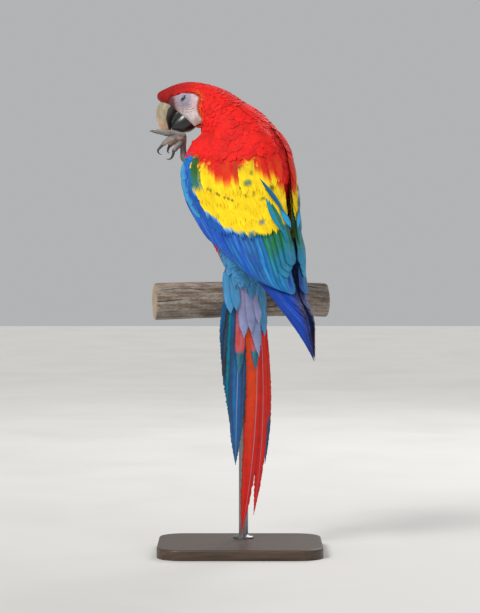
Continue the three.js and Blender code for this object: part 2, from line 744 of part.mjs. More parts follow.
add("torso", fleshOf("torso", 12, 28), "scarlet");
add("neck", fleshOf("neck", 4, 28, { nudge: GAP }), "scarlet");
add("head", headSolid(), "scarlet");
for (const [name, hand] of [["eye_left", 1], ["eye_right", -1]]) add(name, ball(eyeCentre(hand), EYE_RADIUS), "eye");
const bill = bills();
add("bill_upper", bill.bill_upper, "horn");
add("bill_lower", bill.bill_lower, "black");
for (const [name, whole] of Object.entries(wings(wideFlesh))) add(name, whole, "wing");
add("tail", tailSolid(wideFlesh), "tail");
for (const [name, whole] of Object.entries(legs(wideFlesh)))
  add(name, whole, name.startsWith("thigh") ? "scarlet" : name.startsWith("foot") ? "foot" : "claw");
add("perch_branch", perchSolid(), "wood");
add("stand_rod", standRod(), "steel");
add("stand_base", standBase(), "plinth");

export default model;
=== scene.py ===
"""A life-size scarlet macaw on a cut branch: skin, feather coat, flight feathers, bill, feet and stand."""
import math

import bmesh
import bpy
import numpy as np
from bpy.props import FloatProperty, FloatVectorProperty, IntProperty, PointerProperty
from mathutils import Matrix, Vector
from numpy.random import default_rng


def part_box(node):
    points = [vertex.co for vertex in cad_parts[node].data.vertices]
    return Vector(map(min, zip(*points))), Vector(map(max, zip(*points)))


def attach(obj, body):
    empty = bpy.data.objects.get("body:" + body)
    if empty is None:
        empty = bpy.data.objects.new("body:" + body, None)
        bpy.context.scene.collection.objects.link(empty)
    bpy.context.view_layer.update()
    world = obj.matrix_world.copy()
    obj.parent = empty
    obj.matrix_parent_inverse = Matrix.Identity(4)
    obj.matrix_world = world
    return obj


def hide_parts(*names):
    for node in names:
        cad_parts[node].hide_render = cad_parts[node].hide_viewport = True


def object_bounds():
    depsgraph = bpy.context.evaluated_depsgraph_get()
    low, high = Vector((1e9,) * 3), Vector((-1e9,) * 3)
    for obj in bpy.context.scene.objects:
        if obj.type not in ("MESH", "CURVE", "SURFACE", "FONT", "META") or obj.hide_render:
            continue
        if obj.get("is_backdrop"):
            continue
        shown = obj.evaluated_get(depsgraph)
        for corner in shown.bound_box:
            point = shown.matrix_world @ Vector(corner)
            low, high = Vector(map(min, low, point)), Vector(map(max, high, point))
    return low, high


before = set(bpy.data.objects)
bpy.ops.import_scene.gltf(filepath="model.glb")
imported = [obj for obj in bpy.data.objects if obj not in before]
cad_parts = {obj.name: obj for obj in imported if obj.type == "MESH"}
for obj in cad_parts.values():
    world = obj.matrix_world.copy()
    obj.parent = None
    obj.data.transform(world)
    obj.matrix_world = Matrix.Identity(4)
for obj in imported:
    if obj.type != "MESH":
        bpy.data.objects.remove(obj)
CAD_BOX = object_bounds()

bl_info = {
    "name": "Scarlet macaw",
    "version": (1, 0, 0),
    "blender": (4, 5, 0),
    "location": "View3D > Sidebar > Macaw",
    "description": "Builds a perched scarlet macaw feather by feather",
    "category": "Add Mesh",
}

MM = 0.001
# Points nearer to each other than this many metres are one.
DOUBLED = 1e-6
# The range of random phases in radians, and by how much of its gap a feather's root may stray.
PHASES, JITTER = 6.28, 0.25
BODY_TURN = 50.0
HEAD_TURN = 80.0
TAIL_TURN = 28.0
PERCH_TURN = 10.0
UP = np.array([0, 0, 1.0])

# Cross-sections of the body from the rump to the forehead, in mm and degrees: centre x, y, z,
# turn to the left of +Y, pitch of the axis, half width, back depth, front depth.
BODY_SECTIONS = np.array([
    [9, -8, 478, 36, 80, 33, 20, 22], [8, -7, 505, 40, 80, 43, 32, 36], [11, -9, 540, 46, 80, 53, 52, 54],
    [14, -12, 580, 49, 80, 61, 68, 68], [13, -11, 622, 50, 80, 66, 80, 76],
    [11, -9, 660, 50, 78, 66, 74, 76], [7, -6, 692, 51, 72, 60, 58, 68], [-8, 4, 716, 54, 61, 54, 54, 55],
    [-31, 14, 738, 62, 44, 48, 46, 43], [-49.6, 21, 756.8, 70, 18, 42, 37, 36],
    [-73.1, 24, 761.6, 77, 2.5, 36.5, 38.4, 38.4], [-93.7, 27, 767.6, 80, -6.5, 32, 32.2, 32],
    [-117.3, 31, 770.8, 80, -25, 24, 21, 20.4], [-131.2, 33.5, 771.2, 80, -42, 17.5, 13.3, 12.5],
    [-137.2, 34.6, 768.4, 80, -50, 9, 6, 5],
])
FOREHEAD = len(BODY_SECTIONS) - 1
# The section from which the head begins.
HEAD_FROM = 8.5
# How each number of the lowest section changes over one further section below it.
BODY_TAPER = np.array([-1.0, 0.5, 27, 0, 0, 9, 8, 9])
HEAD_MIDDLE = np.array([-93.7, 27.0, 767.6])
EYE_RADIUS = 8.6
EYE_AHEAD, EYE_SIDE, EYE_UP = -3.8, 24.9, 3.8

# The folded wing's two edges from the shoulder to the tip: forward, left and up of the body.
LEADING_EDGE = np.array([
    [44, 50, 716], [58, 68, 684], [63, 75, 650], [54, 76, 604], [20, 71, 556], [-14, 63, 513],
    [-46, 54, 479], [-88, 44, 437], [-115, 34, 400], [-143, 25, 364], [-168, 18, 327],
])
TRAILING_EDGE = np.array([
    [-56, 16, 730], [-82, 12, 700], [-98, 9, 660], [-105, 7, 612], [-111, 6, 558], [-117, 6, 514],
    [-121, 6, 474], [-132, 7, 438], [-159, 9, 402], [-171, 11, 366], [-178, 12, 330],
])
# How far in mm the right wing's tip lies nearer to its root and to the middle of the back.
TUCKED = 8.0
# Where on the body the wing's leading edge lies nearest, at even steps down the wing.
SIDE_LINE = [7.9, 7.6, 6.7, 5.7, 5.0, 4.45, 3.9, 3.3, 2.65, 2.0]
TAIL_ROOT = np.array([8.0, -11.0, 496.0])
TAIL_LEAN = np.array([-0.012, -0.006, -1.0])
TAIL_ARCH = 150.0
# The outline of the bare face on each side, as ahead and up of the head's middle in mm.
FACE_OUTLINE = np.array([
    [22, 8], [8.5, 11.3], [-5, 13.6], [-17.7, 13.9], [-25, 11], [-31, 6], [-29.5, 0], [-28, -8],
    [-28, -16], [-30, -24], [-34, -33], [-30, -40], [-18, -44], [-8, -46], [6, -40], [18, -30],
    [27, -18], [29, -4],
])

# Colours of the feathers, the bare parts and the branch.
SCARLET = np.array([0.72, 0.005, 0.005])
DEEP_RED = np.array([0.36, 0.002, 0.006])
ORANGE = np.array([0.85, 0.13, 0.005])
YELLOW = np.array([0.90, 0.63, 0.004])
GREEN = np.array([0.02, 0.16, 0.03])
TEAL = np.array([0.004, 0.19, 0.26])
SKY = np.array([0.03, 0.30, 0.60])
STRIP_BLUE = np.array([0.006, 0.15, 0.50])
BLUE = np.array([0.008, 0.07, 0.42])
VIOLET = np.array([0.03, 0.03, 0.22])
LILAC = np.array([0.33, 0.36, 0.62])
PALE_BLUE = np.array([0.13, 0.38, 0.70])
BARE_PINK = np.array([0.60, 0.44, 0.45])
BARE_WHITE = np.array([0.78, 0.70, 0.69])
BARE_GREY = np.array([0.29, 0.28, 0.37])
BARE_FLUSH = np.array([0.36, 0.15, 0.19])
MAROON = np.array([0.10, 0.010, 0.016])
PUPIL = np.array([0.004, 0.004, 0.005])
# The iris is darker brown than a real pale iris, painted shade of the half-shut lids.
SHADED_IRIS_INNER = np.array([0.30, 0.24, 0.09])
SHADED_IRIS_OUTER = np.array([0.12, 0.08, 0.03])
EYE_RIM = np.array([0.02, 0.015, 0.015])
LID_EDGE = np.array([0.10, 0.07, 0.08])
TAIL_BROWN = np.array([0.035, 0.016, 0.014])
SALMON = np.array([0.68, 0.08, 0.07])
FOOT_GREY = np.array([0.21, 0.195, 0.19])
FOOT_TAN = np.array([0.40, 0.31, 0.25])
HORN = np.array([0.38, 0.32, 0.215])
BILL_BLACK = np.array([0.010, 0.010, 0.011])
CLAW_GREY = np.array([0.05, 0.05, 0.052])
WOOD_GREY = np.array([0.30, 0.26, 0.22])
WOOD_BROWN = np.array([0.13, 0.085, 0.055])
WOOD_END = np.array([0.42, 0.31, 0.20])
# The pale lilac of the shafts, a painted sheen on them.
SHAFT_SHEEN_LILAC = (0.34, 0.25, 0.34, 1)

# How many points a small feather has across, and its thickness in mm.
SMALL = {"cols": 5, "thick": 0.35}
# How far down the wing its red and its yellow reach, each from the leading to the trailing edge: places
# across the wing, then places down it.
RED_EDGE = (
    [0, 0.09, 0.15, 0.28, 0.39, 0.50, 0.56, 0.59, 0.64, 0.70, 0.74, 0.80, 0.89, 1],
    [0.152, 0.152, 0.152, 0.19, 0.228, 0.25, 0.256, 0.20, 0.175, 0.165, 0.20, 0.225, 0.26, 0.30],
)
YELLOW_EDGE = (
    [0, 0.14, 0.16, 0.18, 0.27, 0.31, 0.43, 0.87, 1],
    [0.10, 0.25, 0.31, 0.35, 0.385, 0.41, 0.43, 0.44, 0.45],
)
# Marks in the wing's yellow: how far down and across it, half height and half width in mm, colour.
DARK_MARK = np.array([0.03, 0.03, 0.02])
YELLOW_MARKS = [
    (0.205, 0.58, 2.2, 3.8, GREEN * [0.8, 0.5, 0.5]),
    (0.230, 0.67, 3.0, 2.0, GREEN * [3.0, 0.7, 0.3]),
    (0.265, 0.63, 5.0, 7.4, GREEN * [1.0, 0.7, 0.9]),
    (0.263, 0.63, 2.8, 4.6, TEAL * [14, 1.2, 0.75]),
    (0.285, 0.84, 4.6, 3.2, GREEN * [1.0, 0.5, 0.5]),
    (0.245, 0.21, 2.2, 2.4, GREEN * [3.0, 0.6, 0.3]),
    (0.275, 0.28, 1.9, 2.6, DARK_MARK),
    (0.281, 0.30, 1.9, 2.6, DARK_MARK),
    (0.295, 0.35, 1.7, 2.2, DARK_MARK),
    (0.300, 0.37, 2.0, 2.2, DARK_MARK),
    (0.310, 0.41, 1.7, 2.2, DARK_MARK),
    (0.313, 0.44, 2.2, 2.4, DARK_MARK),
    (0.320, 0.47, 2.0, 2.4, DARK_MARK),
    (0.280, 0.56, 3.0, 1.6, GREEN * [4.0, 0.8, 0.3]),
    (0.305, 0.60, 1.8, 2.8, GREEN * [5.0, 1.0, 0.3]),
    (0.300, 0.67, 3.0, 1.9, DARK_MARK),
    (0.318, 0.74, 2.0, 5.0, GREEN * [3.0, 0.9, 1.2]),
    (0.390, 0.69, 3.6, 4.8, TEAL * [20, 0.9, 0.8]),
    (0.427, 0.56, 2.6, 5.0, TEAL * [20, 0.9, 0.9]),
]
# The feathers that lie over the wing's inner edge: root and tip down and across the wing, half width,
# and height at root and tip.
SCAPULARS = np.array([
    [0.250, 0.740, 0.362, 0.925, 4.6, 4.0, 5.8], [0.340, 0.890, 0.412, 0.985, 6.0, 5.0, 6.6],
    [0.305, 0.770, 0.430, 0.895, 7.6, 2.6, 4.8], [0.310, 0.900, 0.500, 0.950, 8.0, 1.5, 5.2],
])
PRIMARIES, SECONDARIES, TERTIALS = 10, 10, 4
# The twelve long tail feathers from the top one down: how far each reaches, its half width, and how
# far to the left its shaft lies at its root, its middle and its tip.
TAIL_FEATHERS = np.array([
    [462, 16.5, -12, -23, 3], [432, 15, -18, -38, -21], [345, 15.5, 6, 12, 14], [347, 13, -16, -44, -46],
    [303, 15.5, 8, 17, 17], [300, 13, -14, -36, -35], [258, 15, 10, 23, 22], [254, 13.5, -12, -33, -32],
    [214, 14.5, 12, 26, 25], [210, 13.5, -10, -30, -29], [176, 14, 14, 28, 27], [172, 13.5, -8, -27, -26],
])
# The long upper coverts of the tail, the lowest layer first: where each starts and ends down the
# tail, how far to the left it lies at its root and its tip, its half width, its height and its kind.
RED_TEAL, LILAC_KIND, SKY_KIND = 0, 1, 2
UPPER_COVERTS = np.array([
    [55, 190, 6, 10.8, 9.5, 6.2, RED_TEAL], [58, 186, -14, -20.7, 9.5, 6.5, RED_TEAL],
    [40, 128, -30, -38, 9, 7.0, SKY_KIND], [36, 162, -8, -26, 11.5, 7.6, LILAC_KIND],
    [34, 130, 5, 3, 11, 8.0, LILAC_KIND], [30, 124, -4, -11.3, 10.5, 8.5, LILAC_KIND],
    [24, 108, -17, -25, 10, 8.8, LILAC_KIND], [14, 92, -24, -35, 9.5, 9.1, SKY_KIND],
    [18, 88, 34, 27, 9.5, 8.8, SKY_KIND], [16, 84, 24, 17, 9.5, 9.3, SKY_KIND],
])
# Each thigh's and each shank's path from the body downwards in mm, and its radii along it.
THIGHS = {
    "left": (
        [
            [-14, -8, 536], [-30, 0, 566], [-48, 8, 600], [-68, 16, 638], [-82, 20, 660], [-88, 20.5, 668],
            [-93, 20.5, 672],
        ],
        [26, 30, 27, 20, 12.5, 9.5, 7.6],
    ),
    "right": (
        [[11, 4, 552], [7, 14, 528], [4, 26, 510], [1, 38, 490], [1, 42, 481], [1, 45, 476]],
        [28, 30, 27, 18, 12.5, 8.5],
    ),
}
SHANKS = {
    "left": (
        [
            [-91, 20.5, 669], [-95, 20.5, 672], [-96.5, 20.5, 680], [-97, 20, 692], [-97, 19.5, 702],
            [-98, 19, 708],
        ],
        [6.6, 6.4, 5.2, 5, 5.8, 6.4],
    ),
    "right": ([[1, 43, 484], [1, 46, 475], [2, 48.5, 466]], [6.5, 6.2, 7.4]),
}
# The raised foot's toes, each with its path from the ball of the foot, its claw's points and the
# way its pad faces.
RAISED_TOES = [
    ([[-98, 19, 708], [-110, 18, 711.5], [-124, 16.5, 713.5], [-138, 17, 716], [-143, 17.5, 716]],
     [[-147, 18, 716.5], [-151, 18, 717.5], [-154, 18, 716]], [0, 0.3, 1]),
    ([[-98, 17, 706], [-108, 11, 706], [-119, 8, 703], [-127, 8, 698], [-131, 9, 694]],
     [[-135, 9, 690], [-139.5, 9, 684], [-137.5, 9, 679], [-132.5, 9, 677]], [0.5, -0.6, -0.8]),
    ([[-98, 21, 704], [-107, 26, 702], [-116, 24, 697], [-120, 20, 692]],
     [[-122, 18, 688], [-123, 16, 682], [-119.5, 15, 679]], [0.4, -0.8, -0.3]),
    ([[-97.5, 20, 702], [-101, 14, 697], [-107, 10, 690], [-113, 9, 683]],
     [[-113.5, 9, 678], [-116.5, 9, 671.5], [-121, 9, 669], [-125.5, 9, 670]], [-0.9, 0.3, 0.3]),
]
# The standing foot's toes: where each starts along the branch, how far it spreads, and how many
# degrees round the branch it reaches, towards +Y for positive angles.
STANDING_TOES = [(3, 15, 88), (-4, -13, 74), (4, 11, -62), (-4, -10, -50)]
PERCH_RADIUS, PERCH_LENGTH = 30.0, 300.0
PERCH_CENTRE = np.array([2.0, 48.0, 430.0])
# Sections of each half of the bill and of the tongue in the head's middle plane, in mm: the outer
# edge ahead and up of the head's middle, the inner edge ahead and up, then the half width.
UPPER_BILL = np.array([
    [34, 8, 8, -12, 17], [44, -1, 16, -22, 17], [49.5, -13, 22.5, -31, 15.5], [50, -25, 24.5, -36.5, 13],
    [47, -38, 24.2, -42.5, 9.5], [39, -49, 24.6, -48.5, 6], [29, -54.5, 25.6, -53, 2],
])
LOWER_BILL = np.array([
    [5.4, -15.5, -20, -43, 14.5], [13.8, -22.8, -9, -51, 15.5], [20.2, -31.5, 4, -53, 14.5],
    [22.6, -40, 14.5, -51, 12], [23.0, -45.5, 20.2, -49.8, 8.5],
])
TONGUE = np.array([
    [8, -6, -2, -24, 10], [19, -17, 6, -32, 10.5], [25, -29, 12, -40, 9], [25.5, -38, 16, -45, 6.5],
    [24.8, -44, 20, -47.5, 3],
])
# The base's size in metres, and what all colours that a user may change share.
BASE_LOW, BASE_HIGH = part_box("stand_base")
BASE_SIZE = [high - low for low, high in zip(BASE_LOW, BASE_HIGH, strict=True)]
COLOUR = {"subtype": "COLOR", "min": 0, "max": 1}

# The rod's collar on the base: shares of the rod's radius, and heights above the base in mm.
ROD_COLLAR = np.array([[2.2, 0.4], [2.2, 2.6], [2.1, 3.4], [1.3, 4.6], [1.12, 5.6], [1, 6.4], [1, 60]])
# Where the rod ends inside the branch, and how far it stands to the right of the branch's middle.
ROD_TOP, ROD_ASIDE = PERCH_CENTRE[2] - 29.0, 4
# The radii in mm of the base's corners and of its upper edge.
BASE_CORNER, BASE_ROUNDING = 45.0, 3.0
SHARP_EDGE = math.radians(35)

# The stage, in metres: half the floor's width, and where the lamps point.
FLOOR_HALF = 9.0
LAMP_AIM = Vector((0, 0, 0.5))
# Each lamp's name, kind, place, power, angle or size, and colour.
LAMPS = (
    ("key", "SUN", (-2.2, -2.6, 3.4), 2.5, 0.4, (1.0, 0.98, 0.95)),
    ("fill", "AREA", (2.6, -2.2, 1.4), 16, 1.8, (0.96, 0.98, 1.0)),
    ("rim", "AREA", (1.2, 2.3, 2.2), 34, 1.4, (1.0, 1.0, 1.0)),
)
WORLD_COLOUR, WORLD_STRENGTH = (0.80, 0.81, 0.82, 1), 0.56
# The camera's distance and tilt, the height it looks at, and half the height it sees there.
CAMERA_DISTANCE, CAMERA_TILT = 4.2, math.radians(2.0)
VIEW_CENTRE, HALF_VIEW = 0.419, 0.521
SENSOR = 24.0

# The finish and the slot of every small feather on the body.
COAT = ("small_feathers", "scarlet_plumage")


# --- directions and smooth paths
def ahead_of(turn):
    """The level unit vector that points `turn` degrees to the left of +Y, for one turn or many."""
    a = np.radians(turn)
    return columns(-np.sin(a), np.cos(a), 0.0)


def left_of(turn):
    """The level unit vector to the left of something that faces `turn` degrees left of +Y."""
    a = np.radians(turn)
    return columns(-np.cos(a), -np.sin(a), 0.0)


def along(stations, t):
    """A smooth curve through rows of numbers, at t from 0 to 1.

    Each stretch is the cubic whose slope at a row is half the step between its two neighbours.
    """
    stations = np.asarray(stations, float)
    last = len(stations) - 1
    place = np.clip(t, 0.0, 1.0) * last
    i = np.minimum(place.astype(int), last - 1)
    f = (place - i)[..., None]
    a, b, c, d = (stations[np.clip(i + k, 0, last)] for k in (-1, 0, 1, 2))
    return 0.5 * (
        2 * b + (c - a) * f + (2 * a - 5 * b + 4 * c - d) * f**2 + (3 * b - a - 3 * c + d) * f**3
    )


def shares(count):
    """`count` even steps from 0 to 1."""
    return np.linspace(0, 1, count)


def turns(count):
    """`count` angles evenly round a circle."""
    return np.linspace(0, 2 * np.pi, count, endpoint=False)


def grid(a, b):
    """Two arrays that pair every value of a with every value of b."""
    return np.meshgrid(a, b, indexing="ij")


def columns(*values):
    """Arrays and numbers side by side as the columns of one array."""
    return np.stack(np.broadcast_arrays(*values), -1)


def heading_along(path, t, step=0.03):
    """The unit vectors along a smooth path at t."""
    return unit(along(path, np.minimum(t + step, 1)) - along(path, np.maximum(t - step, 0)))


def length_of(path):
    """The length of a path of straight stretches."""
    return np.linalg.norm(np.diff(path, axis=0), axis=1).sum()


def around(middle, radius, side, other, angle):
    """Points at `angle` round each middle, where side and other are the directions at 0 and 90 degrees."""
    return middle + radius[..., None] * (side * np.cos(angle)[..., None] + other * np.sin(angle)[..., None])


def mix(a, b, share):
    """The value `share` of the way from a to b."""
    return a + (b - a) * share


def blend(a, b, share):
    """The same for rows of numbers, colours or points, with one share for each row."""
    return mix(a, b, share[..., None])


def ramp(low, high, x):
    """0 below low, 1 above high, and an S-shaped rise between them."""
    t = np.clip((x - low) / (high - low), 0, 1)
    return t * t * (3 - 2 * t)


def unit(v):
    """Vectors at length one."""
    return v / np.maximum(np.linalg.norm(v, axis=-1, keepdims=True), 1e-12)


# --- the surfaces that feathers lie on
def on_body(s, angle, out=0.0):
    """A point of the body in mm. s runs from 0 at the rump to 14 at the forehead.

    angle is measured round the section from the middle of the back towards the left. The section
    is half an ellipse at the back and half a different one at the front, `out` larger all round.
    Below the rump it tapers evenly over the tail's root.
    """
    section = along(BODY_SECTIONS, np.asarray(s) / FOREHEAD)
    section = section + np.minimum(s, 0)[..., None] * BODY_TAPER
    centre = section[..., :3]
    turn, pitch, side, back, front = (section[..., k] for k in range(3, 8))
    pitch = np.radians(pitch)[..., None]
    upward = -np.sin(pitch) * ahead_of(turn) + np.cos(pitch) * UP
    depth = np.where(np.cos(angle) > 0, back, front) + out
    return (
        centre
        + upward * (depth * np.cos(angle))[..., None]
        + left_of(turn) * ((side + out) * np.sin(angle))[..., None]
    )


def in_body(places):
    """Points in mm from rows of their distances forward, left and up of the body."""
    return places @ np.stack([ahead_of(BODY_TURN), left_of(BODY_TURN), UP])


def in_head(ahead, side, up):
    """A point in mm from its distances ahead, left and up of the head's middle."""
    places = columns(ahead, side, up)
    return HEAD_MIDDLE + places @ np.stack([ahead_of(HEAD_TURN), left_of(HEAD_TURN), UP])


def on_wing(v, c):
    """A point in mm of the left wing's bent sheet.

    v runs from the shoulder to the wing tip and c from the leading to the trailing edge, along a
    cubic arc whose two inner control points push it out over the flank.
    """
    lead, trail = along(LEADING_EDGE, v), along(TRAILING_EDGE, v)
    near = mix(lead, trail, [0.36, 0.0, 0.33]) * [1, 1.1, 1]
    far = mix(lead, trail, [0.96, 0.15, 0.8])
    c = np.asarray(c)[..., None]
    d = 1 - c
    p = d**3 * lead + 3 * d * d * c * near + 3 * d * c * c * far + c**3 * trail
    past = np.minimum(v, 0)[..., None]
    slope = (along(LEADING_EDGE, 0.02) - along(LEADING_EDGE, 0.0)) / 0.02
    return in_body(p + past * slope * [0.4, 0.6, 1.0])


def on_tail(down, right):
    """A point in mm of the tail's sheet, `down` from its root and `right` of its middle.

    The sheet falls away to both sides like a low roof, by the square of `right`.
    """
    places = columns(down, -right, right**2 / (2 * TAIL_ARCH))
    return TAIL_ROOT + places @ np.stack([unit(TAIL_LEAN), left_of(TAIL_TURN), ahead_of(TAIL_TURN)])


def on_mantle(hand):
    """The sheet that drapes from the back over the top of a wing, left for hand 1, right for -1.

    a runs down it from 0 to 1, and b across it from the wing's leading to its trailing edge, with
    its sign turned on the right. It is the cubic arc between a line round the shoulders and a line
    across the wing, whose inner control points carry on the slope of the body and of the wing.
    """

    def wing_at(v, c):
        points, normal, _ = frame_of(on_wing, v, c)
        points = points + normal * mix(1.2, 3.6, ramp(-0.05, 0.2, c))[..., None]
        return points if hand > 0 else in_mirror(points)

    def at(a, b):
        a, c = np.broadcast_arrays(a, hand * np.asarray(b))
        angle = [2.5, 2.2, 1.75, 1.3, 0.85, 0.38, 0.2]
        angle = hand * np.interp(c, [-0.15, 0, 0.25, 0.5, 0.75, 1.0, 1.15], angle)
        s = np.interp(c, [-0.15, 0, 0.5, 1.0, 1.15], [6.6, 6.9, 7.7, 7.9, 7.8])
        v = np.interp(c, [-0.15, 0, 0.2, 0.5, 1.0, 1.15], [0.04, 0.06, 0.12, 0.165, 0.17, 0.17])
        start, end = on_body(s, angle, 0.4), wing_at(v, np.clip(c, -0.1, 1.08))
        leave = (on_body(s - 0.3, angle, 0.4) - start) / 0.3
        arrive = (end - wing_at(v - 0.03, np.clip(c, -0.1, 1.08))) / 0.03
        far = np.linalg.norm(end - start, axis=-1, keepdims=True) / 3
        p1, p2 = start + unit(leave) * far, end - unit(arrive) * far
        a = a[..., None]
        return (1 - a) ** 3 * start + 3 * (1 - a) ** 2 * a * p1 + 3 * (1 - a) * a * a * p2 + a**3 * end

    return at


def on_side(hand):
    """The sheet that bridges the hollow between the breast and a wing's leading edge.

    a runs down it from 0 to 1, and b from the breast to the wing, with its sign turned on the
    right. It is the quadratic arc between a line down the breast and a line inside the wing,
    whose control point lies up to 12 mm outside the middle of the two.
    """

    def at(a, b):
        a, c = np.broadcast_arrays(a, hand * np.asarray(b))
        v = 0.01 + 0.44 * a
        s = np.interp(v, [0, 0.05, 0.1, 0.15, 0.2, 0.25, 0.3, 0.35, 0.4, 0.45], SIDE_LINE)
        angle = hand * np.interp(v, [0, 0.1, 0.3, 0.45], [2.55, 2.7, 2.6, 2.1])
        start, out, _ = frame_of(on_body, s, angle)
        end, normal, _ = frame_of(on_wing, v, np.full(v.shape, 0.04))
        end = end + normal * mix(1.5, -4.5, ramp(0.02, 0.15, v))[..., None]
        end = end if hand > 0 else in_mirror(end)
        end = blend(end, start, 0.8 * ramp(0.72, 1.0, a))
        swell = 12 * ramp(-0.1, 0.3, a) * ramp(1.05, 0.7, a)
        bulge = (start + end) / 2 + swell[..., None] * out
        c = c[..., None]
        return (1 - c) ** 2 * start + 2 * (1 - c) * c * bulge + c**2 * end

    return at


# Half the width of the differences that give a sheet's slopes, where it isn't EVEN_STEP.
SLOPE_STEP = {on_body: 0.02, on_wing: 0.004, on_tail: 0.5}
EVEN_STEP = 0.01


def frame_of(sheet, a, b):
    """Points of a sheet with its outward normals and its stretch in mm for each unit of b.

    The normal is the cross product of the sheet's slopes along a and along b, from central differences.
    """
    step = SLOPE_STEP.get(sheet, EVEN_STEP)
    p = sheet(a, b)
    slope_a = sheet(a + step, b) - sheet(a - step, b)
    slope_b = (sheet(a, b + step) - sheet(a, b - step)) / (2 * step)
    return p, unit(np.cross(slope_a, slope_b)), np.linalg.norm(slope_b, axis=-1)


# --- meshes
def mesh_piece(name, points, faces, smooth=True, colours=None, maps=None):
    """A mesh object in the row's frame from points in mm, with colours and flat maps per point."""
    mesh = bpy.data.meshes.new(name)
    points = np.reshape(points, (-1, 3)) * MM
    faces = np.asarray(faces, np.int32)
    count, corners = faces.shape
    mesh.vertices.add(len(points))
    mesh.vertices.foreach_set("co", points.ravel())
    mesh.loops.add(count * corners)
    mesh.loops.foreach_set("vertex_index", faces.ravel())
    mesh.polygons.add(count)
    mesh.polygons.foreach_set("loop_start", np.arange(count, dtype=np.int32) * corners)
    mesh.polygons.foreach_set("use_smooth", np.full(count, smooth))
    mesh.update(calc_edges=True)
    if colours is not None:
        paint(mesh, colours)
    for map_name, places in (maps or {}).items():
        layer = mesh.uv_layers.new(name=map_name)
        layer.uv.foreach_set("vector", np.asarray(places).reshape(-1, 2)[faces.ravel()].ravel())
    piece = bpy.data.objects.new(name, mesh)
    bpy.context.scene.collection.objects.link(piece)
    return piece


def paint(mesh, colours):
    """Writes a colour for each point into the attribute that the materials read."""
    layer = mesh.color_attributes.new("marking", "FLOAT_COLOR", "POINT")
    rgba = np.ones((len(mesh.vertices), 4))
    rgba[:, :3] = np.reshape(colours, (-1, 3))
    layer.data.foreach_set("color", rgba.ravel())


def finish(piece, look, slot, *replaces, **more):
    """Gives a piece its finish, and lets it ride on the body and stand for CAD nodes. The slot is not used.
    """
    piece.data.materials.append(material_of(look, **more))
    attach(piece, "root")
    if replaces:
        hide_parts(*replaces)


def grid_faces(rows, cols, closed=False):
    """Quads over a grid of points, joined round from the last column to the first if closed."""
    i, j = grid(np.arange(rows - 1), np.arange(cols if closed else cols - 1))
    k = (j + 1) % cols
    return columns(i * cols + j, i * cols + k, (i + 1) * cols + k, (i + 1) * cols + j).reshape(-1, 4)


def closed_tube(rings):
    """Points and quads of a tube through rings (n, sides, 3), each end drawn in to its middle."""
    sides = rings.shape[1]
    caps = np.repeat(rings[[0, -1]].mean(axis=1, keepdims=True), sides, 1)
    rings = np.concatenate([caps[:1], rings, caps[1:]])
    return rings.reshape(-1, 3), grid_faces(len(rings), sides, closed=True)


def merged(piece):
    """Merges a piece's doubled points, drops faces without area and turns its faces outwards."""
    work = bmesh.new()
    work.from_mesh(piece.data)
    bmesh.ops.remove_doubles(work, verts=work.verts, dist=DOUBLED)
    bmesh.ops.dissolve_degenerate(work, edges=work.edges, dist=DOUBLED)
    bmesh.ops.recalc_face_normals(work, faces=work.faces)
    work.to_mesh(piece.data)
    work.free()
    return piece


def tube_piece(name, rings, colours=None):
    """A closed mesh object through rings of points, its faces turned outwards."""
    points, faces = closed_tube(rings)
    if colours is not None:
        colours = np.concatenate([colours[:1], colours, colours[-1:]])
    return merged(mesh_piece(name, points, faces, colours=colours))


# --- feathers
def vane(start, full, full_by, round_from, least, power=0.5):
    """The half-width shares of a feather along its length t, as a function.

    The share swells by a sine from `start` to `full` at t = full_by. From t = round_from it
    narrows by an ellipse to the tip, or by a parabola for power 1, and stays above `least`.
    """

    def share(t):
        swell = start + (full - start) * np.sin(0.5 * np.pi * np.minimum(t / full_by, 1))
        past = np.clip(t - round_from, 0, 1) / (1 - round_from)
        return np.maximum(swell * np.clip(1 - past**2, 0, 1) ** power, least)

    return share


# Small body feathers, long wing and tail feathers, wing-tip feathers and pointed coverts.
round_vane = vane(0.5, 1.0, 0.5, 0.5, 0.1)
long_vane = vane(0.55, 1.0, 0.3, 0.84, 0.05)
blade_vane = vane(0.6, 0.96, 0.3, 0.66, 0.05)
pointed_vane = vane(0.6, 0.97, 0.3, 0.6, 0.04, 1.0)


def leaf_vane(t):
    """Half-width share of a slender leaf, pointed at both ends and widest just past its middle."""
    return np.maximum(np.sin(np.pi * t**1.2) ** 0.8, 0.04)


def tip_rows(rows, ease=1.5):
    """Places along a feather from root to tip, closer together towards the tip."""
    return 1 - (1 - shares(rows)) ** ease


def shaded_root(t, low, high, start=0.0, end=0.7):
    """A factor that rises from low to high between two places along each feather: painted shade on each root,
    where the feather above covers it, partly also the feather's own darker base.
    """
    return mix(low, high, ramp(start, end, t))[:, None, None]


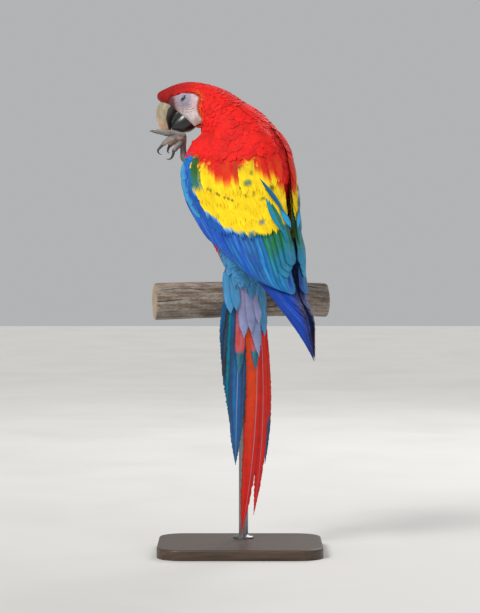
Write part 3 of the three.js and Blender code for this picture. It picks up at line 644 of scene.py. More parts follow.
class Feathers:
    """Many like feathers on one sheet, each a thin closed vane that bends with the sheet.

    A feather runs from its root (a, b) to its tip (a, b) in the sheet's own coordinates, and its
    middle lies `bend` to the side of the straight line.
    Across it, u goes from -1 to 1 and its edge lies `half` times the vane's share from its shaft.
    It stands `height` above the sheet, which goes from its root's to its tip's value, plus `lift`
    on the side of u = -1, less `camber` times u squared, plus a fine ridge along the shaft.
    """

    def __init__(self, sheet, root, tip, half, height, seed, **form):
        self.rng = default_rng(seed)
        self.sheet, self.root, self.tip = sheet, root, tip
        self.count = len(self.root)
        self.t = form.get("rows", tip_rows(7))
        self.u = np.linspace(-1, 1, form.get("cols", 3))
        self.half = np.broadcast_to(half, (self.count,))
        self.inner = np.broadcast_to(form.get("inner", half), (self.count,))
        self.height = np.broadcast_to(height, (self.count, 2))
        self.form = form
        self.place()

    def place(self):
        """Works out the points of the upper face, and of the lower face inside its rim."""
        form, t, u = self.form, self.t, self.u
        share = form.get("vane", round_vane)(t)
        a = mix(self.root[:, :1], self.tip[:, :1], t)
        b = mix(self.root[:, 1:], self.tip[:, 1:], t)
        b = b + np.reshape(form.get("bend", 0.0), (-1, 1)) * (4 * t * (1 - t))
        _, _, stretch = frame_of(self.sheet, a, b)
        wear = form.get("ragged", 0.04) * (1 + 2 * ramp(0.6, 1.0, t))[:, None]
        ragged = 1 + wear * self.rng.standard_normal((self.count, len(t), 2))
        reach = np.where(u < 0, -self.half[:, None, None], self.inner[:, None, None]) * np.abs(u)
        reach = reach * share[:, None] * np.where(u < 0, ragged[..., :1], ragged[..., 1:])
        side = b[..., None] + reach / np.maximum(stretch, 1e-6)[..., None]
        ahead = np.broadcast_to(a[..., None], side.shape)
        points, normal, _ = frame_of(self.sheet, ahead, side)
        rise = mix(self.height[:, :1], self.height[:, 1:], np.minimum(t / form.get("climb", 1.0), 1))
        lift = form.get("lift", 0.0) * (1 - u * share[:, None]) / 2
        camber = form.get("camber", 0.0) * u**2
        shaft = form.get("shaft", 0.0) * np.exp(-((u / 0.12) ** 2)) * (1 - t[:, None])
        up = rise[..., None] + lift - camber
        self.top = points + normal * (up + shaft)[..., None]
        thick = form.get("thick", 0.3) * (1 - u**4) * (1 - 0.7 * t[:, None] ** 3)
        self.low = (points + normal * (up - thick)[..., None])[:, 1:-1, 1:-1]
        self.flip = np.mean(self.tip[:, 0] - self.root[:, 0]) < 0

    def faces(self):
        """Quads of one closed vane: the upper grid, and a lower grid that shares its rim."""
        rows, cols = len(self.t), len(self.u)
        upper = np.arange(rows * cols).reshape(rows, cols)
        lower = upper.copy()
        lower[1:-1, 1:-1] = rows * cols + np.arange((rows - 2) * (cols - 2)).reshape(rows - 2, cols - 2)
        quads = [
            columns(g[:-1, :-1], g[1:, :-1], g[1:, 1:], g[:-1, 1:]).reshape(-1, 4)
            for g in (upper, lower)
        ]
        quads[1] = quads[1][:, ::-1]
        one = np.concatenate(quads)
        if self.flip:
            one = one[:, ::-1]
        size = rows * cols + (rows - 2) * (cols - 2)
        return (one + size * np.arange(self.count)[:, None, None]).reshape(-1, 4)

    def both(self, upper):
        """Values on the upper grid (count, rows, cols, k), followed by those of the lower points."""
        upper = np.broadcast_to(upper, (self.count, len(self.t), len(self.u), upper.shape[-1]))
        return self.joined(upper, upper[:, 1:-1, 1:-1])

    def joined(self, *grids):
        """Each feather's values on one grid followed by those on the next."""
        return np.concatenate([values.reshape(self.count, -1, values.shape[-1]) for values in grids], 1)

    def piece(self, name, colours, places, mirror=False):
        """The mesh object of all these feathers, with their colours and their two flat maps."""
        points = self.joined(self.top, self.low)
        faces = self.faces()
        if mirror:
            points = in_mirror(points)
            faces = faces[:, ::-1]
        t, u = grid(self.t, self.u)
        vane = self.both(columns((u + 1) / 2, t)[None])
        patch = self.form.get("patch", 0.003)
        spot = np.asarray(places)[:, None, None, :] + patch * (columns(u / 2, t - 0.5))[None]
        maps = {"OFBake": self.both(spot), "vane": vane}
        made = mesh_piece(name, points, faces, colours=self.both(np.asarray(colours)), maps=maps)
        made.data.set_sharp_from_angle(angle=math.radians(70))
        return made


def grow(name, feathers, colours, places, look, slot, *nodes, mirror=False):
    """Makes feathers into a finished piece."""
    finish(feathers.piece(name, colours, places, mirror), look, slot, *nodes)


def in_mirror(points):
    """Points of the left wing reflected in the body's upright middle plane, with the tip drawn in."""
    left, ahead = left_of(BODY_TURN), ahead_of(BODY_TURN)
    drawn = TUCKED * ramp(-470, -330, -points[..., 2])[..., None]
    return points - 2 * (points @ left)[..., None] * left + drawn * (left + ahead)


def rows_on(sheet, a_range, b_range, spacing, seed, closed=False):
    """Roots in staggered rows over a sheet, about `spacing` = (along a, along b) mm apart.

    Each row starts half a feather later than the one before, and every root is moved a little at
    random. Where the sheet narrows, its rows hold fewer roots.
    """
    rng = default_rng(seed)
    step = SLOPE_STEP.get(sheet, EVEN_STEP)
    roots = []
    a, end = a_range
    sign = 1 if end > a else -1
    row = 0
    while (end - a) * sign > 0:
        b = np.linspace(b_range[0], b_range[1], 40)
        line = sheet(np.full(40, a), b)
        length = np.concatenate([[0], np.cumsum(np.linalg.norm(np.diff(line, axis=0), axis=1))])
        gap = spacing(a)[1] if callable(spacing) else spacing[1]
        count = max(3, int(round(length[-1] / gap)))
        places = np.arange(count) + 0.5 * (row % 2) + JITTER * rng.uniform(-1, 1, count)
        places = places / count * length[-1]
        across = np.interp(places % length[-1] if closed else np.clip(places, 0, length[-1]), length, b)
        down = np.linalg.norm(sheet(a + step, b) - sheet(a - step, b), axis=-1).mean() / (2 * step)
        rise = (spacing(a)[0] if callable(spacing) else spacing[0]) / down
        roots.append(columns(a + JITTER * rise * rng.uniform(-1, 1, count), across))
        a += sign * rise
        row += 1
    return np.concatenate(roots)


# --- colours and markings
def outline_depth(ahead, up):
    """How far in mm a point lies inside the bare face's outline, and below zero outside it.

    It is the distance to the nearest edge, with the sign from the count of edges to one side.
    """
    start, end = FACE_OUTLINE, np.roll(FACE_OUTLINE, -1, 0)
    point = columns(ahead, up)[..., None, :]
    edge = end - start
    share = np.clip(((point - start) * edge).sum(-1) / (edge**2).sum(-1), 0, 1)
    gap = np.linalg.norm(point - start - share[..., None] * edge, axis=-1).min(-1)
    crosses = (start[:, 1] > point[..., 1]) != (end[:, 1] > point[..., 1])
    height = np.where(edge[:, 1] == 0, 1e-9, edge[:, 1])
    at = start[:, 0] + (point[..., 1] - start[:, 1]) * edge[:, 0] / height
    inside = (crosses & (point[..., 0] < at)).sum(-1) % 2 == 1
    return np.where(inside, gap, -gap)


def head_places(points):
    """How far points in mm lie ahead, left and up of the head's middle."""
    gap = points - HEAD_MIDDLE
    return gap @ ahead_of(HEAD_TURN), gap @ left_of(HEAD_TURN), gap[..., 2]


def bare_depth(points, s):
    """outline_depth for points of the body, and far outside for all that isn't on the head."""
    ahead, _, up = head_places(points)
    return np.where(s > HEAD_FROM, outline_depth(ahead, up), -50.0)


def soft_noise(points, size, seed=0):
    """Smooth noise from -1 to 1: a sum of sines along seven slanted directions, about `size` mm wide."""
    rng = default_rng(seed)
    total = 0
    for _ in range(7):
        wave = unit(rng.standard_normal(3)) * 2 * np.pi / size * rng.uniform(0.6, 1.5)
        total = total + np.sin(points @ wave + rng.uniform(0, PHASES))
    return total / 3.2


def body_colours(points, s, angle):
    """The coat's colours on the body: scarlet with a crown darkened by painted shade, a blue lower back and
    an orange-edged face.
    """
    ahead = head_places(points)[0]
    colour = blend(SCARLET, SCARLET * 0.72, ramp(9.0, 12.5, s))
    # painted shade: the crown of the head darker red
    crown_shade = ramp(9.5, 12, s) * ramp(0.2, 0.75, np.cos(angle))
    colour = blend(colour, DEEP_RED, 0.75 * crown_shade)
    lores = ramp(10, 24, ahead) * (s > 10)
    colour = blend(colour, DEEP_RED * 0.8, lores)
    depth = bare_depth(points, s)
    rear = ramp(-11, -1.5, depth) * ramp(-16, -27, ahead)
    colour = blend(colour, ORANGE, 0.6 * rear)
    # the rump's real blue, made a darker teal at the front as painted shade under the wing
    behind = ramp(-0.7, -0.1, np.cos(angle))
    border = mix(1.15, 2.15, behind) - 0.22 * soft_noise(points, 26, 3)
    blue = ramp(border + 0.05, border - 0.05, s)
    return blend(colour, blend(mix(TEAL, SKY, 0.4), SKY, behind), 0.95 * blue)


def bare_colours(points):
    """The bare face: pinkish white, grey round the eye, whiter below, maroon by the bill."""
    ahead, _, up = head_places(points)
    blotch = soft_noise(points, 7, 5)[..., None]
    colour = blend(BARE_PINK, BARE_WHITE, ramp(-8, -22, up))
    from_eye = np.hypot(ahead - EYE_AHEAD, up - EYE_UP)
    colour = blend(colour, BARE_GREY, 0.85 * ramp(21, 10, from_eye))
    flushed = ramp(2, 14, ahead) * ramp(-20, -6, up)
    colour = blend(colour, BARE_FLUSH, 0.6 * flushed)
    colour = blend(colour, MAROON, 0.92 * ramp(9, 17, ahead + 1.2 * blotch[..., 0]))
    return colour * (1 + 0.10 * blotch)


def body_wrinkles(points):
    """Heights in mm of the bare face's folds: rings round the eye and slanting lines below it."""
    ahead, _, up = head_places(points)
    from_eye = np.hypot(ahead - EYE_AHEAD, up - EYE_UP)
    rings = np.sin(from_eye * 2.1 + 0.5 * soft_noise(points, 9, 7)) * ramp(19, 12, from_eye)
    slant = np.sin((0.5 * ahead + 0.85 * up) * 2.4 + 0.8 * soft_noise(points, 8, 8))
    return 0.16 * rings + 0.16 * (slant * ramp(12, 20, from_eye))


# --- materials
class Shading:
    """A node material under way. The inputs of its nodes are numbers or other nodes' outputs."""

    def __init__(self, name):
        self.material = bpy.data.materials.new(name)
        self.material.use_nodes = True
        self.tree = self.material.node_tree
        self.place = self.node("ShaderNodeTexCoord").outputs["Object"]
        self.marking = self.node("ShaderNodeAttribute", attribute_name="marking").outputs["Color"]

    def feed(self, node, inputs):
        """Sets or links a node's inputs, given by their names or numbers."""
        for key, value in inputs.items():
            if isinstance(value, bpy.types.NodeSocket):
                self.tree.links.new(value, node.inputs[key])
            else:
                node.inputs[key].default_value = value

    def node(self, kind, inputs=None, **settings):
        """A new node with its settings and inputs."""
        made = self.tree.nodes.new(kind)
        for key, value in settings.items():
            setattr(made, key, value)
        self.feed(made, inputs or {})
        return made

    def maths(self, operation, *values):
        """The result of one operation on its values."""
        return self.node("ShaderNodeMath", dict(enumerate(values)), operation=operation).outputs[0]

    def between(self, *values):
        """A value, the two bounds it lies between, and the two bounds it is carried to."""
        return self.node("ShaderNodeMapRange", dict(enumerate(values))).outputs[0]

    def noise(self, scale, detail, place=None, distortion=0.0):
        """Noise in the object's own coordinates, or at `place`."""
        inputs = {"Vector": place or self.place, "Scale": scale, "Detail": detail, "Distortion": distortion}
        return self.node("ShaderNodeTexNoise", inputs).outputs["Fac"]

    def fibres(self, grain, distortion=0.0):
        """Fine noise drawn out by its three scales in each metre."""
        stretched = self.node("ShaderNodeMapping", {"Vector": self.place, "Scale": grain})
        return self.noise(1.0, 8.0, stretched.outputs[0], distortion)

    def marking_times(self, one, other):
        """The painted marking, darker or lighter by the product of two values."""
        inputs = {0: self.marking, "Scale": self.maths("MULTIPLY", one, other)}
        return self.node("ShaderNodeVectorMath", inputs, operation="SCALE").outputs[0]

    def done(self, colour, height, relief, distance, **sockets):
        """The finished material with its colour, its bump and the shader's other sockets."""
        bump = self.node("ShaderNodeBump", {"Strength": relief, "Distance": distance, "Height": height})
        inputs = {key.replace("_", " "): value for key, value in sockets.items()}
        inputs |= {"Base Color": colour, "Normal": bump.outputs[0]}
        self.feed(self.tree.nodes["Principled BSDF"], inputs)
        return self.material


def feather_material(name, roughness, sheen, barbs, slant, relief, shaft=0.0, broad=1.0):
    """Feather vanes: the painted marking, darker between fine slanting barbs, with a pale shaft that is a
    painted sheen.

    The barbs are stripes: the sine of `barbs` times the length, less `slant` times the distance
    from the shaft, plus some noise, on the vane's own flat map. They also drive the bump.
    """
    look = Shading(name)
    vane_place = look.node("ShaderNodeUVMap", uv_map="vane").outputs["UV"]
    split = look.node("ShaderNodeSeparateXYZ", {0: vane_place}).outputs
    aside = look.maths("ABSOLUTE", look.maths("SUBTRACT", split["X"], 0.5))
    slanting = look.maths("MULTIPLY_ADD", split["Y"], barbs, look.maths("MULTIPLY", aside, -slant))
    stripes = look.maths("SINE", look.maths("MULTIPLY_ADD", look.noise(260.0, 3.0), 5.0, slanting))
    patchy = look.between(look.noise(70.0, 4.0), 0.3, 0.7, 0.86, 1.12)
    colour = look.marking_times(look.between(stripes, -1.0, 1.0, 0.90, 1.05), patchy)
    # painted sheen: a pale lilac line along the shaft
    if shaft:
        near = look.between(aside, 0.006 * broad, 0.022 * broad, shaft, 0.0)
        pale = look.node("ShaderNodeMix", {0: near}, data_type="RGBA")
        look.feed(pale, {6: colour, 7: SHAFT_SHEEN_LILAC})
        colour = pale.outputs[2]
    return look.done(
        colour, stripes, relief, 0.0004, Roughness=roughness, Specular_IOR_Level=0.22, Sheen_Weight=sheen,
        Sheen_Roughness=0.45,
    )


def skin_material(name, roughness, cells, relief, lines):
    """Skin or scales: the painted marking, mottled, darker and lower along the edges of small cells."""
    look = Shading(name)
    patchy = look.between(look.noise(300.0, 5.0), 0.3, 0.7, 0.84, 1.1)
    inputs = {"Scale": cells, "Vector": look.place}
    edge = look.node("ShaderNodeTexVoronoi", inputs, feature="DISTANCE_TO_EDGE").outputs["Distance"]
    colour = look.marking_times(patchy, look.between(edge, 0.0, 0.16, 1.0 - lines, 1.0))
    return look.done(
        colour, edge, relief, 0.0006, Roughness=roughness, Subsurface_Weight=0.08,
        Subsurface_Radius=(0.003, 0.0012, 0.0008),
    )


def painted_material(name, roughness, mottle, grain, relief, veined=0.06, **sockets):
    """A surface in its painted marking, mottled by noise, with a fine grain as its bump.

    mottle and grain are the noises' scales in each metre, and grain may be drawn out along X. The
    grain also makes the colour up to `veined` lighter and darker.
    """
    look = Shading(name)
    fibres = look.fibres(grain)
    patchy = look.between(look.noise(mottle, 6.0), 0.3, 0.7, 0.82, 1.14)
    colour = look.marking_times(patchy, look.between(fibres, 0.35, 0.65, 1 - veined, 1 + veined))
    gloss = look.between(fibres, 0.3, 0.7, roughness * 0.8, min(1.0, roughness * 1.2))
    return look.done(colour, fibres, relief, 0.0006, Roughness=gloss, **sockets)


def toned_material(name, dark, light, roughness, grain, relief, metallic=0.0):
    """A surface between two tones of one colour by a drawn-out grain, for the rod, base and floor."""
    look = Shading(name)
    fibres = look.fibres(grain, 0.6)
    tones = look.node("ShaderNodeValToRGB", {0: fibres})
    for end, place, tone in zip(tones.color_ramp.elements, (0.32, 0.68), (dark, light), strict=True):
        end.position, end.color = place, (*tone, 1)
    gloss = look.between(fibres, 0.3, 0.7, roughness * 0.8, roughness * 1.25)
    return look.done(tones.outputs[0], fibres, relief, 0.0004, Roughness=gloss, Metallic=metallic)


LONG_VANES = {"roughness": 0.46, "sheen": 0.04, "slant": 90.0, "relief": 0.2}
# Each finish's maker and its settings.
FINISHES = {
    "skin": (skin_material, {"roughness": 0.6, "cells": 520.0, "relief": 0.35, "lines": 0.06}),
    "foot_scales": (skin_material, {"roughness": 0.5, "cells": 560.0, "relief": 0.8, "lines": 0.42}),
    "small_feathers": (
        feather_material, {"roughness": 0.68, "sheen": 0.05, "barbs": 150.0, "slant": 46.0, "relief": 0.16},
    ),
    "long_feathers": (feather_material, {"barbs": 520.0, "shaft": 0.5, **LONG_VANES}),
    "tail_vanes": (feather_material, {"barbs": 640.0, "shaft": 0.85, "broad": 1.5, **LONG_VANES}),
    "bill_horn_finish": (
        painted_material,
        {"roughness": 0.38, "mottle": 120.0, "grain": (300, 300, 900), "relief": 0.25, "Coat_Weight": 0.15},
    ),
    "bill_black_finish": (
        painted_material,
        {"roughness": 0.3, "mottle": 90.0, "grain": (500, 500, 700), "relief": 0.15, "Coat_Weight": 0.3},
    ),
    "eye_gloss": (
        painted_material,
        {"roughness": 0.08, "mottle": 900.0, "grain": (2500, 2500, 2500), "relief": 0.02, "Coat_Weight": 1.0,
         "Coat_Roughness": 0.02},
    ),
    "claw_horn_finish": (
        painted_material, {"roughness": 0.3, "mottle": 150.0, "grain": (300, 300, 1200), "relief": 0.2},
    ),
    "weathered_wood": (
        painted_material,
        {"roughness": 0.85, "mottle": 45.0, "grain": (45, 900, 900), "relief": 0.7, "veined": 0.42},
    ),
    "brushed_steel": (
        toned_material,
        {"dark": (0.20, 0.20, 0.21), "light": (0.30, 0.30, 0.31), "roughness": 0.34, "grain": (900, 900, 12),
         "relief": 0.1, "metallic": 1.0},
    ),
    "dark_walnut": (toned_material, {"roughness": 0.42, "grain": (14, 220, 220), "relief": 0.15}),
    "pale_floor": (
        toned_material,
        {"dark": (0.625, 0.615, 0.595), "light": (0.65, 0.64, 0.62), "roughness": 0.8, "grain": (3, 3, 3),
         "relief": 0.0},
    ),
}


def material_of(name, **more):
    """The material of a finish, made the first time it is asked for, or anew if it has more settings."""
    make, settings = FINISHES[name]
    made = None if more else bpy.data.materials.get(name)
    return made or make(name, **settings, **more)


# --- skin
def coat_depth(s):
    """How deep the skin lies under the coat's outer face in mm, along the body."""
    return mix(4.5, 2.2, ramp(6.5, 10.5, s))


def body_skin():
    """Points, faces and colours of the skin from the rump to the forehead."""
    s = np.concatenate([np.linspace(0, 8.8, 60, endpoint=False), np.linspace(8.8, FOREHEAD, 170)])
    angle = turns(200)
    s_grid, angle_grid = grid(s, angle)
    outer, normal, _ = frame_of(on_body, s_grid, angle_grid)
    bare = ramp(-1.0, 2.5, bare_depth(outer, s_grid))
    depth = mix(coat_depth(s_grid), 0.7 - body_wrinkles(outer), bare)
    rings = outer - normal * depth[..., None]
    # painted shade: feathered skin carries the coat's markings at 0.55 of their brightness, dark in the gaps
    # between feathers
    colours = blend(body_colours(outer, s_grid, angle_grid) * 0.55, bare_colours(outer), bare)
    points, faces = closed_tube(rings)
    colours = np.concatenate([colours[:1], colours, colours[-1:]]).reshape(-1, 3)
    return points, faces[:, ::-1], colours


# --- the coat of small feathers
def varied(colours, rng, amount=0.08, towards=ORANGE, share=0.05):
    """Colours made a little lighter or darker for each feather, and the reds and yellows warmer."""
    colours = colours * (1 + amount * rng.standard_normal((len(colours), 1, 1, 1)))
    reddish = ramp(0.05, 0.3, colours[..., :1] - colours[..., 2:])
    warm = share * rng.random((len(colours), 1, 1, 1)) * reddish
    return np.clip(mix(colours, towards, warm), 0, 1)


def body_unwrap(roots):
    """Flat places of roots on the body: round it across, along it upwards."""
    return columns(roots[:, 1] / (2 * np.pi) * 0.96 + 0.02, roots[:, 0] / FOREHEAD * 0.96 + 0.02)


def fillet(gap):
    """How far in mm two surfaces rise where they meet: the square of 22 less their gap, over 88."""
    return np.clip(22 - np.abs(gap), 0, None) ** 2 / 88


def over_body(spots):
    """How far in mm feathers of a thigh rise where it comes out of the body.

    The gap to the body is measured along the body's normal at the nearest of its sampled points.
    """
    s, angle = grid(np.linspace(0, 8, 81), np.linspace(0, 2 * np.pi, 90))
    body, normal, _ = frame_of(on_body, s.ravel(), angle.ravel())
    nearest = ((body**2).sum(-1) - 2 * spots @ body.T).argmin(1)
    return fillet(((spots - body[nearest]) * normal[nearest]).sum(-1))


def over_thighs(s, angle):
    """How far in mm the body's feathers rise at (s, angle) to flow over a thigh instead of into it.

    It is how deep the place lies inside the thigh, up to 12 mm, plus the fillet.
    """
    lift = 0.0
    spots = on_body(s, angle)[:, None]
    for points, radii in THIGHS.values():
        t = shares(50)
        middle, radius = along(points, t), along(np.reshape(radii, (-1, 1)), t)[:, 0]
        gap = (np.linalg.norm(spots - middle, axis=-1) - radius).min(-1)
        lift = np.maximum(lift, np.clip(-gap, 0, 12) + fillet(gap))
    return lift


def body_feathers(s_range, spacing, length, width, seed):
    """A stretch of the body's coat, from `s_range[0]` back to `s_range[1]`.

    spacing, length and width are functions of s in mm. Feathers near the bare face are shorter,
    and none grows inside its outline.
    """
    roots = rows_on(on_body, s_range, (0, 2 * np.pi), spacing, seed, closed=True)
    spots = on_body(roots[:, 0], roots[:, 1])
    depth = bare_depth(spots, roots[:, 0])
    roots, depth = roots[depth < -0.6], depth[depth < -0.6]
    s, angle = roots.T
    size = mix(0.45, 1.0, ramp(-0.5, -9, depth))
    step = SLOPE_STEP[on_body]
    stretch = np.linalg.norm(on_body(s + step, angle) - on_body(s - step, angle), axis=-1) / (2 * step)
    reach = np.minimum(length(s) * size / np.maximum(stretch, 6), 1.2)
    rng = default_rng(seed + 1)
    reach = reach * rng.uniform(0.85, 1.15, len(s))
    tips = columns(np.maximum(s - reach, -1.2), angle + 0.03 * rng.standard_normal(len(s)))
    under = -0.55 * coat_depth(s)
    over = 0.3 + mix(1.1, 0.55, ramp(6.5, 10, s)) * size * rng.random(len(s))
    height = columns(under * size + over_thighs(s, angle), over + over_thighs(*tips.T))
    coat = Feathers(
        on_body, roots, tips, width(s) * size / 2, height, seed, rows=tip_rows(7), camber=0.35,
        ragged=0.09, **SMALL,
    )
    middle = mix(roots, tips, 0.6)
    base = body_colours(on_body(*middle.T), *middle.T)[:, None, None, :]
    base = base * shaded_root(coat.t, 0.64, 1.05, 0.1, 0.85) * (1 + 0.07 * np.abs(coat.u)[:, None])
    return coat, varied(base, coat.rng, 0.10), body_unwrap(roots)


def wing_colours(v, c, rng):
    """The wing's colours for feathers whose vanes show at (v, c): red, yellow, then blue.

    A strip along the leading edge is blue, with a green patch beside its upper part. Every
    feather, the first place of v, moves the borders up or down a little.
    """
    loose = rng.standard_normal((len(v),) + (1,) * (np.ndim(v) - 1))
    below_red = v - np.interp(c, *RED_EDGE) + 0.010 * loose
    below_yellow = v - np.interp(c, *YELLOW_EDGE) + 0.007 * loose
    colour = blend(ORANGE, YELLOW, ramp(0.0, 0.03, below_red))
    colour = blend(SCARLET, colour, ramp(-0.012, 0.006, below_red))
    deep = blend(BLUE, TEAL, 0.15 + 0.75 * ramp(0.55, 0.85, c))
    fringe = blend(PALE_BLUE, GREEN, ramp(0.3, 0.6, c))
    deep = blend(fringe, deep, ramp(0.002, 0.02, below_yellow))
    colour = blend(colour, deep, ramp(-0.006, 0.004, below_yellow))
    side = c - 0.02 * loose
    green = ramp(0.115, 0.13, side) * ramp(0.215, 0.195, side)
    green = green * ramp(0.135, 0.15, v) * ramp(0.29, 0.26, v)
    colour = blend(colour, blend(GREEN * 0.75, TEAL, 0.7 * ramp(0.2, 0.28, v)), 0.98 * green)
    strip = ramp(0.125, 0.11, c + 0.006 * loose) * ramp(0.130, 0.134, v + 0.006 * loose)
    blue = blend(STRIP_BLUE, BLUE, ramp(0.2, 0.36, v))
    # painted highlight: the very leading edge paler, towards sky blue
    blue = blend(mix(blue, SKY, 0.6), blue, ramp(0.0, 0.05, c))
    return blend(colour, blue, strip)


def wing_unwrap(roots):
    """Flat places of roots on the wing: across it, and down it."""
    return columns(roots[:, 1] * 0.9 + 0.05, 0.95 - roots[:, 0] * 0.9)


def marked(coat, colours):
    """Colours with the few green and dark marks in the yellow, ovals that keep their size in mm.

    A mark's share falls off by the exponential of minus the fourth powers of the distances down
    and across the wing, each over its own half size.
    """
    for v, c, tall, wide, tone in YELLOW_MARKS:
        middle, below, beside = on_wing(np.array([v, v + 0.01, v]), np.array([c, c, c + 0.01]))
        away = coat.top - middle
        down = away @ (below - middle) / np.linalg.norm(below - middle)
        across = away @ (beside - middle) / np.linalg.norm(beside - middle)
        share = np.exp(-((down / tall) ** 4) - (across / wide) ** 4)
        colours = blend(colours, tone, 0.92 * share)
    return colours


def lesser_coverts(seed):
    """The small feathers over the wing's upper part, in staggered rows."""
    roots = rows_on(on_wing, (-0.03, 0.235), (0.04, 0.985), (5.2, 8.2), seed)
    roots = roots[(roots[:, 0] > 0.05) | (roots[:, 1] < 0.7)]
    rng = default_rng(seed + 1)
    v, c = roots.T
    tips = columns(v + rng.uniform(0.048, 0.064, len(v)), c + 0.006 * rng.standard_normal(len(v)))
    edge = ramp(0.0, 0.05, v)
    height = columns(mix(-2.5, 0.9, edge), mix(-0.6, 2.7, edge) + 0.7 * rng.random(len(v)))
    coat = Feathers(
        on_wing, roots, tips, 5.6, height, seed, rows=tip_rows(9), camber=0.5, ragged=0.07, **SMALL
    )
    shown = mix(v[:, None, None], tips[:, 0][:, None, None], coat.t[:, None])
    base = wing_colours(shown, c[:, None, None] + 0 * shown, rng)
    base = np.repeat(base, 5, 2) * shaded_root(coat.t, 0.8, 1.02)
    return coat, marked(coat, varied(base, rng, 0.07)), wing_unwrap(roots)


def draped_feathers(sheet, down, across, end, hand, seed):
    """Scarlet feathers that hang down a stretch of a sheet and reach no further down it than `end`."""
    span = sorted((across[0] * hand, across[1] * hand))
    roots = rows_on(sheet, down, span, (6, 8.6), seed)
    rng = default_rng(seed + 1)
    a, b = roots.T
    stretch = np.linalg.norm(sheet(a + 0.01, b) - sheet(a - 0.01, b), axis=-1) / 0.02
    reach = np.minimum(rng.uniform(24, 32, len(a)) / stretch, np.abs(end - a))
    tips = columns(a + np.sign(end - a) * reach, b + 0.02 * rng.standard_normal(len(a)))
    height = columns(-1.8, 0.5 + 0.8 * rng.random(len(roots)))
    coat = Feathers(
        sheet, roots, tips, 6.4, height, seed, rows=tip_rows(8), camber=0.45, ragged=0.07, **SMALL
    )
    base = np.broadcast_to(SCARLET, (len(roots), len(coat.t), 5, 3)) * shaded_root(coat.t, 0.8, 1.02)
    places = columns(hand * roots[:, 1] * 0.4 + (0.05 if hand > 0 else 0.55), 0.9 - 0.85 * roots[:, 0])
    return coat, varied(base, rng, 0.07), places


# The form that all long wing coverts share.
LONG_COVERT = {
    "rows": tip_rows(20, 1.3), "cols": 7, "thick": 0.45, "lift": 1.3, "camber": 0.3, "ragged": 0.06,
    "vane": pointed_vane,
}


def long_coverts(seed):
    """Rows of longer, narrow coverts below the small ones, the last with blue or green ends."""
    parts = []
    for count, v0, v1, height, half in (
        (26, 0.15, 0.30, (0.9, 3.9), 6.6),
        (27, 0.19, 0.345, (0.5, 3.5), 6.8),
        (27, 0.23, 0.39, (0.1, 3.2), 7.0),
        (28, 0.27, 0.44, (-0.4, 2.9), 7.2),
    ):
        rng = default_rng(seed + count)
        share = (np.arange(count) + 0.5) / count
        c = mix(0.10, 0.965, share) + 0.2 / count * rng.uniform(-1, 1, count)
        roots = columns(v0 + 0.004 * rng.standard_normal(count), c)
        end = v1 - 0.04 + 0.05 * np.sin(np.pi * share) ** 0.7
        tips = columns(end + 0.006 * rng.standard_normal(count), c)
        coat = Feathers(on_wing, roots, tips, half, height, seed + count, **LONG_COVERT)
        v = mix(coat.root[:, :1], coat.tip[:, :1], coat.t)[:, :, None]
        c = mix(coat.root[:, 1:], coat.tip[:, 1:], coat.t)[:, :, None] + 0 * coat.u
        colour = wing_colours(v + 0 * c, c, rng)
        streak = 1 + 0.09 * np.sin(9 * coat.u + rng.uniform(0, PHASES, (count, 1, 1)))[..., None]
        colour = varied(colour * streak * shaded_root(coat.t, 0.8, 1.03, 0.2, 0.8), rng, 0.06, YELLOW, 0.05)
        parts.append((coat, marked(coat, colour), wing_unwrap(coat.root)))
        seed += 5
    return parts


# --- wing and tail feathers
def flight_row(roots, tips, half, inner, height, seed, **form):
    """One row of long wing feathers, each with a narrow outer and a wide inner web."""
    form = {"rows": tip_rows(70, 1.2), "cols": 9, "vane": long_vane, "ragged": 0.012, "shaft": 0.55, **form}
    form |= {"inner": inner, "thick": 0.45, "patch": 0.02}
    return Feathers(on_wing, roots, tips, half, height, seed, **form)


def webs(row, outer_colour, inner_colour, tip_colour, tip_from=0.8, split=0.1):
    """Colours of long feathers: one web in the outer colour, the other in the inner, a darker tip."""
    share = ramp(-split, split + 0.25, row.u)[:, None]
    colour = mix(outer_colour, inner_colour, share)
    colour = np.broadcast_to(colour, (row.count, len(row.t), len(row.u), 3))
    return mix(colour, tip_colour, ramp(tip_from, 1.0, row.t)[:, None, None])


def highlight_streaked(colours, row, amount=0.12, pale=PALE_BLUE, share=0.15):
    """Colours with uneven pale streaks along each feather and a pale rim that ends in a dark edge: the
    streaks and the rim are painted highlights, the dark edge a painted shadow.
    """
    t, u = row.t[:, None], row.u
    phase = row.rng.uniform(0, PHASES, (row.count, 1, 1))
    streak = np.sin(6.5 * u + phase + 1.6 * np.sin(4 * t + 2 * phase)) * np.sin(7 * t - 2 * u + 3 * phase)
    rim = ramp(0.6, 1.0, np.abs(u)) * ramp(0.2, 0.6, t)
    # painted highlights: pale streaks and a pale rim along each feather
    colours = blend(colours, pale, share * np.clip(1.2 * streak + rim, 0, 1.6))
    # painted shadow: each feather darker along both edges
    colours = colours * (1 - 0.55 * (ramp(0.75, 1.0, np.abs(u)) * ramp(0.1, 0.4, t))[..., None])
    return np.clip(colours * (1 + amount * row.rng.standard_normal((row.count, 1, 1, 1))), 0, 1)


